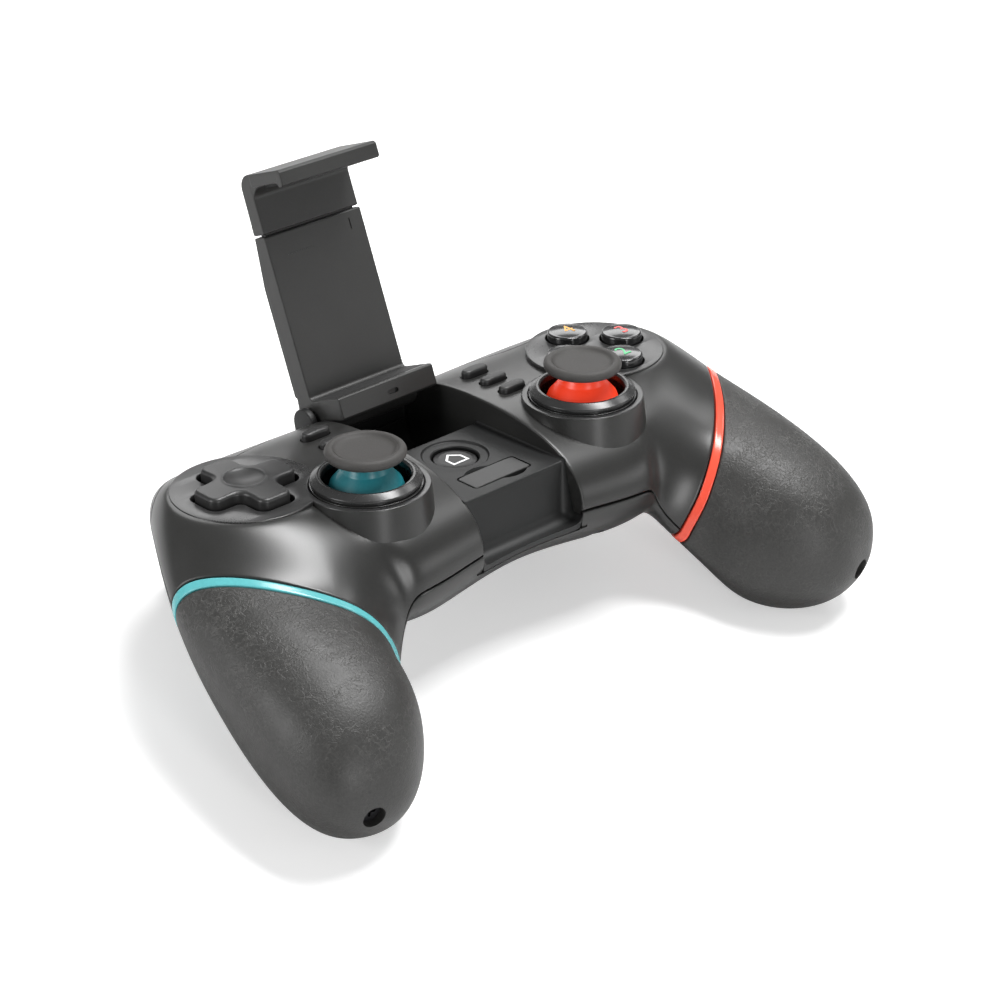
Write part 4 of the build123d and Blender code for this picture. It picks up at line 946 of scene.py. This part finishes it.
# %% [markdown]
# ## Grips and bands
# Past the band the same surface closes round the grip end in a pole. The band is a ring of the surface, a
# touch proud, and a screw hole opens near the grip's end.

# %% Grips and bands
GRIP_SCREW = np.array([70.1, -24.6, -39.8])
GRIP_SCREW_OUT = unit(np.array([0.19, -0.96, -0.20]))
GRIP_GAP, GRIP_ROLL, GRIP_THICK = 0.2, 0.4, 1.8
BAND_PROUD, BAND_ROLL, BAND_THICK = 0.06, 0.25, 1.4


def across_axes(axis):
    """Two directions across an axis and the axis itself, as rows."""
    first = unit(np.cross(axis, (0, 0, 1.0)))
    return np.stack([first, np.cross(axis, first), axis])


def grip(side):
    a = np.linspace(0, 4, 181)[:-1]
    start = s_at_band(a, BAND_WIDTH + GRIP_GAP + GRIP_ROLL)
    share = 1 - (1 - np.linspace(0, 1, 150)[:, None]) ** 1.6
    s = start + (0.9995 - start) * share
    points, normals = body_point(s, a), body_normal(s, a)
    outer, inner = rolled(points, normals, GRIP_ROLL, GRIP_THICK, (True, False), (False, False))
    tip = body_point(np.array(1.0), np.array(0.0))
    outer[-1] = tip
    inner[-1] = tip - GRIP_THICK * unit(tip - points[-30].mean(0))
    skin = wall(outer, inner, None, True, side)
    hole = rounded([(0, 4), (3.4, 4), (3.0, 0.1), (2.35, -0.5), (2.2, -6), (0, -6)],
                   [0, 0, 0.3, 0.5, 0, 0])
    hand = (side, 1, 1)
    return carve(skin, [turned(GRIP_SCREW * hand, hole, 48, across_axes(GRIP_SCREW_OUT) * hand)])


def band(side):
    a = np.linspace(0, 4, 361)[:-1]
    start, end = s_at_band(a, 0.45), s_at_band(a, BAND_WIDTH - 0.15)
    s = start + (end - start) * np.linspace(0, 1, 5)[:, None]
    normals = body_normal(s, a)
    points = body_point(s, a) + normals * BAND_PROUD
    outer, inner = rolled(points, normals, BAND_ROLL, BAND_THICK, (True, True), (False, False))
    return wall(outer, inner, None, True, side)


for side, word in SIDES:
    piece(f"{word}_grip_skin", grip(side), "body", "grip_skin", [f"{word}_grip_cover"])
    piece(f"{word}_band", band(side), "body", f"band_{word}", [f"{word}_trim_band"])
print("grips and bands made")

# %% [markdown]
# ## Lower cover and shoulder buttons
# The lower cover is the rest of the surface. Windows for the triggers and shoulder buttons, the notch for the
# channel's front, the screw holes and the charging port are cut from it.

# %% Lower cover
TRIGGER_X0, TRIGGER_X1, TRIGGER_GAP = 30.0, 49.0, 0.4
SCREWS = ((20.0, 51.6), (22.0, 10.0))
SOCKET = (21.0, -14.8, 9.6, 3.8)
FRONT_NOTCH, TRIGGER_WINDOW = (-8, 12.2, -21, 0), (50.5, 80, -40, -10)
LOWER_THICK, BUMPER_THICK = 2.0, 1.8


def lower_cover():
    a = np.linspace(2 + PARTING, 4 - PARTING, 120)
    end = s_at_band(a, -EDGE_ROLL)
    s = end * np.linspace(-1, 1, 281)[:, None]
    points, normals = body_point(s, a), body_normal(s, a)
    outer, inner = rolled(points, normals, EDGE_ROLL, LOWER_THICK)
    cover = wall(outer, inner)
    tools = [prism(rectangle(*FRONT_NOTCH), -CHANNEL_HALF - 0.1, CHANNEL_HALF + 0.1, sideways)]
    screw = [(0, -40), (2.9, -40), (2.4, -27), (2.4, -20), (0, -20)]
    for side, _ in SIDES:
        x0, x1 = sorted((side * (TRIGGER_X0 - TRIGGER_GAP), side * (TRIGGER_X1 + TRIGGER_GAP)))
        tools += [bumper_window(side), prism(rectangle(*TRIGGER_WINDOW), x0, x1, sideways)]
        tools += [turned((side * x, y, 0), screw, 40) for x, y in SCREWS]
    tools.append(prism(stadium(*SOCKET), 55, 70, lambda p: place(p[..., [0, 2, 1]])))
    return carve(cover, tools)


lower = piece("bottom_cover_skin", lower_cover(), "body", "body_plastic", ["bottom_cover"])
print("lower cover", len(lower.data.polygons), "faces")


# %% Shoulder buttons
def bumper(side):
    a = np.linspace(-0.7, 1.05, 90)
    s = np.linspace(0.08, 0.56, 150)[:, None]
    points, normals = body_point(s, a), body_normal(s, a)
    sheet = wall(points, points - BUMPER_THICK * normals, side=side)
    region = prism(mirrored(BUMPER_OUTLINE, side), BUMPER_LOW, 10, place)
    return carve(sheet, [region], "INTERSECT")


def through(points, count):
    """A smooth line through points: the cubic spline over the distance along them."""
    p = np.asarray(points, float)
    at = np.r_[0, np.cumsum(np.linalg.norm(np.diff(p, axis=0), axis=1))]
    return spline(at, p)(np.linspace(0, at[-1], count))


def trigger(side):
    face = through([(61.6, -13.3), (63.7, -18.5), (65.3, -25.0), (66.3, -31.8)], 24)
    tip = rounded([(66.3, -31.8), (66.6, -33.6), (64.1, -33.75), (63.4, -32.6)], [0, 1.0, 1.0, 0], False)
    back = through([(63.4, -32.6), (61.7, -25.5), (59.7, -20.5), (56.2, -17.6)], 18)
    root = rounded([(56.2, -17.6), (51.2, -18.6), (51.2, -13.3), (61.6, -13.3)], [0, 2.2, 2.2, 0], False)
    shape = np.concatenate([face[:-1], tip[:-1], back[:-1], root[:-1]])
    low, high = sorted((side * TRIGGER_X0, side * TRIGGER_X1))
    return plate([shape], low, high, 0.8, sideways)


for side, word in SIDES:
    for part, shape in (("bumper_shell", bumper), ("trigger_lever", trigger)):
        cad = f"{word}_{part.split('_')[0]}"
        piece(f"{word}_{part}", shape(side), cad, "body_plastic", [cad])
print("shoulder buttons and triggers made")

# %% [markdown]
# ## Thumbsticks
# A bevelled ring stands on the tower. Inside it a coloured skirt flares like a cone, and above it sits a
# thick rubber cap with a full round rim and a shallow dish for the thumb.

# %% Thumbsticks
BEZEL = rounded(
    [(9.0, 0.5), (9.0, 1.75), (9.35, 2.15), (9.85, 2.15), (11.3, 1.15), (11.3, 0.62), (10.8, 0.5),
     (10.8, 0.2), (11.45, 0.1), (11.45, -0.8), (10.6, -0.8), (10.6, -1.8), (10.3, -1.8), (10.3, 0.4)],
    [0.1, 0.3, 0.3, 0.4, 0.3, 0.1, 0.05, 0.05, 0.12, 0.1, 0, 0, 0, 0],
)
SKIRT = rounded(
    [(0, 6.2), (4.1, 6.2), (4.1, 5.2), (4.75, 3.7), (5.0, 3.0), (7.3, 0.4), (7.9, -1.3), (7.0, -1.5),
     (6.4, 0.0), (3.4, 4.7), (0, 4.7)],
    [0, 0.1, 1.0, 0.6, 0.8, 1.2, 0.3, 0.3, 1.0, 0.3, 0],
)
RIM_R = 1.12
CAP_R, CAP_TOP = 8.3, 8.0


def cap_profile():
    """A dish inside, a round rim, and a shallow cone under it."""
    flat = CAP_R - 1.75 * RIM_R
    r = np.linspace(0, flat, 24)
    u = r / flat
    dish = CAP_TOP - 1.0 + 0.35 * u**2 + 0.42 * u**16
    rim = arc((CAP_R - RIM_R, CAP_TOP - RIM_R), RIM_R, 132, -95, 30)
    under = np.array([(6.2, 5.68), (5.0, 5.6), (4.6, 5.4), (4.5, 5.1), (0, 5.1)])
    return np.concatenate([np.stack([r, dish], -1), rim, under])


for side, word in SIDES:
    centre = (side * STICK[0], STICK[1], 0)
    piece(f"{word}_bezel_ring", turned(centre, BEZEL, 144), "body", "ring_plastic",
          [f"{word}_stick_bezel"])
    piece(f"{word}_stick_skirt", turned(centre, SKIRT, 128), f"{word}_stick", f"dome_{word}",
          [f"{word}_stick_dome"])
    piece(f"{word}_stick_top", turned(centre, cap_profile(), 128), f"{word}_stick", "cap_rubber",
          [f"{word}_stick_cap"], sharp=60)
print("thumbsticks made")

# %% [markdown]
# ## Buttons
# The cross pad, bars, key and face buttons are all seen from above as an outline that a ray from the middle
# meets once. A polar grid whose rim follows the outline gives the top as a height over the plan, and a
# rounded edge comes from each point's distance to the outline.


# %% Buttons as polar grids
def away_from_box(x, y, half_x, half_y, corner):
    """Signed distance from a rectangle with round corners: negative inside."""
    qx, qy = np.abs(x) - half_x + corner, np.abs(y) - half_y + corner
    outside = np.hypot(np.maximum(qx, 0), np.maximum(qy, 0))
    return outside + np.minimum(np.maximum(qx, qy), 0) - corner


def button(centre, away, reach, top, edge, foot, angles=240, rings=40):
    """A button: rays to where the distance is zero, the top's height less the edge's quarter circle
    edge - sqrt(edge^2 - (edge - depth)^2), then a straight side down to the foot."""
    ray = circle(0, 0, 1, angles)
    far = find(lambda r: away(r * ray[:, 0], r * ray[:, 1]), 0, reach, angles)
    share = np.sin(np.linspace(0, 1, rings) * np.pi / 2)[:, None]
    plan = share[..., None] * far[None, :, None] * ray[None]
    x, y = plan[..., 0], plan[..., 1]
    depth = np.clip(-away(x, y), 0, edge)
    z = top(x, y) - (edge - np.sqrt(np.maximum(edge**2 - (edge - depth) ** 2, 0)))
    rim = plan[-1:]
    side = np.concatenate([rim, rim, 0 * rim], 0)
    low = np.full(angles, foot)
    heights = np.stack([(z[-1] + foot) / 2, low, low])
    grid = np.concatenate([np.dstack([plan, z]), np.dstack([side, heights])], 0)
    return mesh_of(place(grid + centre), grid_faces(*grid.shape[:2], True).reshape(-1, 4))


def pad_away(x, y):
    """Distance from the cross: two round-cornered bars, blended where they meet by h^2 k / 4."""
    p = away_from_box(x, y, DPAD_ARM, DPAD_WIDTH / 2, 1.9)
    q = away_from_box(x, y, DPAD_WIDTH / 2, DPAD_ARM, 1.9)
    k = 3.0
    h = np.maximum(k - np.abs(p - q), 0) / k
    return np.minimum(p, q) - h * h * k / 4


def pad_top(x, y):
    """Arms that dip a little and rise to their ends, and a dish in the middle with a thin raised line."""
    r = np.hypot(x, y)
    arms = 2.35 - 0.35 * np.sin(np.clip((r - 4.4) / 6.2, 0, 1) * np.pi / 2)
    dish = 0.8 * np.clip(1 - (r / 4.2) ** 2, 0, 1)
    line = 0.10 * np.exp(-(((r - 4.35) / 0.3) ** 2))
    return arms - dish + line


pad = button((-DISC[0], DISC[1], 0), pad_away, 13, pad_top, 0.75, -3.2, 480, 90)
piece("dpad_cross", pad, "dpad", "button_gloss", ["dpad"], pad_plastic, 50)

# %% [markdown]
# The four face buttons are low domes of clear-coated black plastic. Each has a plain number in a colour of
# its own, moulded in so that it stands a hair above the dome.

# %% Face buttons with numbers
MARKS = {"left": ("1", (70, 130, 215)), "front": ("2", (60, 175, 110)),
         "right": ("3", (215, 70, 65)), "back": ("4", (235, 160, 60))}
DOME_TOP, DOME_SHOULDER = 2.15, 0.55


def dome_profile():
    """A low dome, a quarter-round shoulder and a straight side."""
    flat = BUTTON_R - DOME_SHOULDER
    r = np.linspace(0, flat, 12)
    dome = DOME_TOP - 0.42 * (r / flat) ** 2
    shoulder = arc((flat, DOME_TOP - 0.95), DOME_SHOULDER, 72, 0, 8)
    return np.concatenate([np.stack([r, dome], -1), shoulder, [(BUTTON_R, -3.0), (0, -3.0)]])


def flat_number(word, size, thick):
    """A number's points, centred, and faces, in millimetres."""
    text = bpy.data.curves.new("number", "FONT")
    text.body, text.size, text.extrude = word, size, thick / 2
    points, faces = filled(text)
    return points - (points.max(0) + points.min(0)) / 2, faces


for where, (x, y) in BUTTONS.items():
    piece(f"face_{where}_dome", turned((x, y, 0), dome_profile()), f"face_{where}", "button_gloss",
          [f"face_button_{where}"], sharp=40)
    number, color = MARKS[where]
    points, faces = flat_number(number, 5.0, 0.3)
    mark = mesh_of(place(points + (x, y, DOME_TOP - 0.13)), faces)
    paint = moulded(f"Mark {number}", color, 0.3, 0.6, 0.001, speck=0.0)
    piece(f"face_{where}_mark", mark, f"face_{where}", finish=paint)
print("cross pad and face buttons made")


# %% Bars, home button and key
BAR_REACH_X, BAR_REACH_Y = 3.4, 1.3


def bar_away(x, y):
    return away_from_box(x, y, BAR_REACH_X, BAR_REACH_Y, BAR_REACH_Y)


def bar_top(x, y):
    return 0.85 - 0.25 * (x / BAR_REACH_X) ** 2 - 0.2 * (y / BAR_REACH_Y) ** 2


def key_away(x, y):
    return away_from_box(x, y, KEY_HALF, (KEY_BACK - KEY_FRONT) / 2, 0.7)


def key_top(x, y):
    """A flat plate that falls off a little to its ends."""
    return 0.14 - 0.12 * (x / KEY_HALF) ** 4


for side, word in SIDES:
    for where, y in zip(("back", "middle", "front"), BAR_YS):
        bar = button((side * BAR_X, y, 0), bar_away, 5, bar_top, 0.6, -3.5, 160, 24)
        piece(f"{word}_bar_{where}_cap", bar, f"{word}_bar_{where}", "button_gloss",
              [f"{word}_bar_button_{where}"], bar_plastic, 50)

key = button((0, (KEY_FRONT + KEY_BACK) / 2, FLOOR_Z), key_away, 9, key_top, 0.25, -3, 400, 40)
piece("release_key_plate", key, "key", "key_plastic", ["release_key"], sharp=50)

HOME_PROFILE = rounded([(0, -1.05), (HOME_R - 1.2, -1.0), (HOME_R, -1.15), (HOME_R, -4), (0, -4)],
                       [0, 0.4, 0.35, 0, 0])
piece("home_button_disc", turned((*HOME, FLOOR_Z), HOME_PROFILE), "home", "button_gloss",
      ["home_button"], home_gloss, 40)
house = np.array([(-2.2, -2.1), (2.2, -2.1), (2.2, 0.6), (0, 2.6), (-2.2, 0.6)])
sign = plate([house, outward(house, -0.5)], -1.12, -0.97, 0.0, lambda p: place(p + (*HOME, FLOOR_Z)))
white_mark = moulded("White mark", (245, 246, 248), 0.35, 0.6, 0.001, speck=0.0)
piece("home_button_sign", sign, "home", finish=white_mark)
print("bars, key and home button made")

# %% [markdown]
# ## Phone clip
# The clip's parts are side profiles carried across: a plate with a lower jaw and a hinge knuckle, and a
# slider with the upper jaw, whose tongue runs in the plate. Profile points are given as the distance up the
# plate from its foot and the distance out from its face.

# %% Phone clip
CLIP_FOOT, CLIP_LEAN = np.array([59.6, -0.1]), math.radians(21.2)
CLIP_UP = np.array([math.sin(CLIP_LEAN), math.cos(CLIP_LEAN)])
CLIP_OUT = np.array([-math.cos(CLIP_LEAN), math.sin(CLIP_LEAN)])
PLATE_HALF, PLATE_V, KNUCKLE_R = 13.0, 36.0, 4.1
KNUCKLE = (-4.32, -1.49)


def on_clip(p):
    """A point (up the plate, out from it, x) put on the deck."""
    yz = CLIP_FOOT + p[..., :1] * CLIP_UP + p[..., 1:2] * CLIP_OUT
    return place(np.concatenate([p[..., 2:], yz], -1))


def carried(shape, half, edge):
    return plate([shape], -half, half, edge, on_clip)


def jaw_pad(half, *box):
    return carried(rounded(rectangle(*box), 0.1), half, 0.1)


def clip_plate():
    """Plate, foot and lower jaw in one side profile. Cut from it are a pocket for the slider's tongue, a
    groove for its lip, a seat for the rubber pad, a slot in the jaw, and a tick and a line on the face."""
    front = rounded([(PLATE_V, -3.4), (PLATE_V, 0), (0.0, 0), (0.1, 9.85), (-4.8, 9.85), (-4.85, 8.6),
                     (-4.463, 2.608)], [0, 0.5, 1.0, 0.6, 0.6, 0.3, 0], False)
    under = arc(KNUCKLE, KNUCKLE_R, 92, 262, 30)
    back = rounded([(-4.32, -5.55), (0.4, -4.75), (26, -4.6), (PLATE_V, -3.4)], [0, 1.0, 8, 0], False)
    body = carried(np.concatenate([front, under, back[1:-1]]), PLATE_HALF + 0.25, 0.3)
    boxes = [((6, 40, -1.05, -2.75), -9.5, 9.5), ((34.6, 40, -0.75, -2.9), -12.3, 12.3),
             ((-0.95, 0.3, 0.75, 8.25), -12.65, 12.65), ((31.9, 34.3, -0.2, 1), 9.3, 9.6),
             ((31.0, 31.12, -0.06, 1), -8.5, -1.5)]
    pocket, groove, seat, tick, line = [prism(rectangle(*box), x0, x1, on_clip) for box, x0, x1 in boxes]
    slot = prism(stadium(1.2, -2.6, 3.0, 1.1), 9.2, 11, lambda p: on_clip(p[..., [1, 2, 0]]))
    return carve(body, [pocket, groove, seat, slot, tick, line])


def slider():
    """Slider and upper jaw as one web, the jaw's bar, a guide lip and the tongue."""
    web = rounded([(36.4, -4.0), (36.4, -0.1), (44.6, -0.1), (46.3, 1.6), (46.7, 7.6), (49.2, 7.6),
                   (49.5, -3.6), (43, -3.75)], [0.5, 0.4, 1.6, 2.4, 0.4, 0.4, 3.0, 8])
    bar = rounded([(46.6, 0.4), (46.5, 9.4), (45.5, 10.0), (45.5, 11.0), (45.9, 11.4), (48.6, 11.4),
                   (49.15, 10.8), (49.35, 0.4)], [0.4, 0.5, 0.3, 0.3, 0.3, 0.4, 0.5, 0.4])
    lip, tongue = rectangle(34.9, 37.2, -0.95, -2.7), rectangle(8, 37.4, -1.15, -2.65)
    slot = prism(stadium(-0.5, 5.4, 6.6, 1.3), 48.9, 52, lambda p: on_clip(p[..., [2, 1, 0]]))
    solid = carve(carried(bar, 13.3, 0.25), [slot])
    return joined(carried(web, PLATE_HALF, 0.3), solid,
                  carried(rounded(lip, 0.1), 12.0, 0.1),
                  carried(rounded(tongue, 0.1), 9.3, 0.1))


cover = rounded([(0.8, -4.75), (26, -4.6), (PLATE_V, -3.4), (PLATE_V, -3.95), (25, -5.55), (0.8, -5.6)],
                [0, 8, 0, 0.3, 8, 0.5])
for name, mesh, body, slot, cad in (
    ("clip_plate_body", clip_plate(), "clip", "clip_plastic", "clip_plate"),
    ("clip_rear_cover", carried(cover, PLATE_HALF, 0.25), "clip", "clip_plastic", "clip_back_cover"),
    ("lower_jaw_rubber", jaw_pad(12.6, -0.9, 0.02, 0.8, 8.2), "clip", "pad_rubber", "lower_jaw_pad"),
    ("clip_slider_body", slider(), "slider", "clip_plastic", "clip_slider"),
    ("upper_jaw_rubber", jaw_pad(11.4, 45.9, 46.75, 2.6, 9.2), "slider", "pad_rubber", "upper_jaw_pad"),
):
    hard = slot == "clip_plastic"
    piece(name, mesh, body, slot, [cad], sharp=28 if hard else 32, flat=hard)
print("clip made")

# %% [markdown]
# ## Studio
# The floor is white to the camera and keeps the soft shadow. The light is a dim room and six soft boxes: the
# large one above lights the faces, and each of the others stands where its reflection makes a streak that
# the photograph shows on a curved side.


# %% Floor, world and soft boxes
ROOM_LIGHT, FLOOR_GLOW = 0.24, 0.42
GAMEPAD_MIDDLE = (0, 0, 0.04)


def make_floor():
    """A floor that only the camera sees glow, so that it shows white and throws no light upwards."""
    corners = np.array([(-3, -3, 0), (3, -3, 0), (3, 3, 0), (-3, 3, 0)], float)
    mesh = mesh_of(corners, [(0, 1, 2, 3)])
    finish = Finish("Floor", Roughness=0.9, Base_Color=(0.8, 0.8, 0.8, 1), Specular_IOR_Level=0.0)
    surface = Value(finish, finish.shader.outputs[0])
    glow = finish.node("Emission", None, {"Color": (1, 1, 1, 1), "Strength": FLOOR_GLOW})
    white = finish.node("AddShader", None, [surface, glow])
    seen = finish.node("LightPath", output="Is Camera Ray")
    mixed = finish.node("MixShader", None, [seen, surface, white])
    finish.feed(finish.end.inputs[0], mixed)
    mesh.materials.append(finish.material)
    linked("Floor", mesh)


def make_world():
    """White to the camera at strength 1, and a plain grey level for the light."""
    world = bpy.data.worlds.new("Studio")
    bpy.context.scene.world = world
    world.use_nodes = True
    tree = world.node_tree
    tree.nodes.clear()
    path = tree.nodes.new("ShaderNodeLightPath")
    lit, seen = tree.nodes.new("ShaderNodeBackground"), tree.nodes.new("ShaderNodeBackground")
    lit.inputs["Strength"].default_value = ROOM_LIGHT
    seen.inputs["Strength"].default_value = 1.0
    for background in (lit, seen):
        background.inputs["Color"].default_value = (1, 1, 1, 1)
    mix, end = tree.nodes.new("ShaderNodeMixShader"), tree.nodes.new("ShaderNodeOutputWorld")
    tree.links.new(path.outputs["Is Camera Ray"], mix.inputs[0])
    tree.links.new(lit.outputs[0], mix.inputs[1])
    tree.links.new(seen.outputs[0], mix.inputs[2])
    tree.links.new(mix.outputs[0], end.inputs[0])


def soft_box(name, at, size, brightness):
    """A rectangular lamp that faces the gamepad; its power is brightness times pi times its area."""
    lamp = bpy.data.lights.new(name, "AREA")
    lamp.shape, lamp.size, lamp.size_y = "RECTANGLE", *size
    lamp.energy = brightness * math.pi * size[0] * size[1]
    back = unit(np.asarray(at) - GAMEPAD_MIDDLE)
    right = unit(np.cross((0, 0, 1.0), back))
    stand(linked(name, lamp), at, [right, np.cross(back, right), back])


make_floor()
make_world()
for name, at, size, brightness in (
    ("Overhead", (0.27, 0.06, 0.90), (0.50, 0.24), 27.0),
    ("Upper right", (0.72, 0.02, 0.66), (0.22, 0.22), 6.0),
    ("Behind right", (0.58, 0.84, 0.43), (0.8, 0.30), 3.9),
    ("Left", (-0.95, 0.25, 0.36), (0.35, 0.5), 9.0),
    ("Front", (-0.26, -0.96, 0.30), (0.13, 0.5), 16.0),
    ("Front right", (0.66, -0.80, 0.30), (0.5, 0.3), 2.6),
):
    soft_box(name, at, size, brightness)
bpy.context.scene.view_settings.view_transform = "Standard"
print("studio ready")
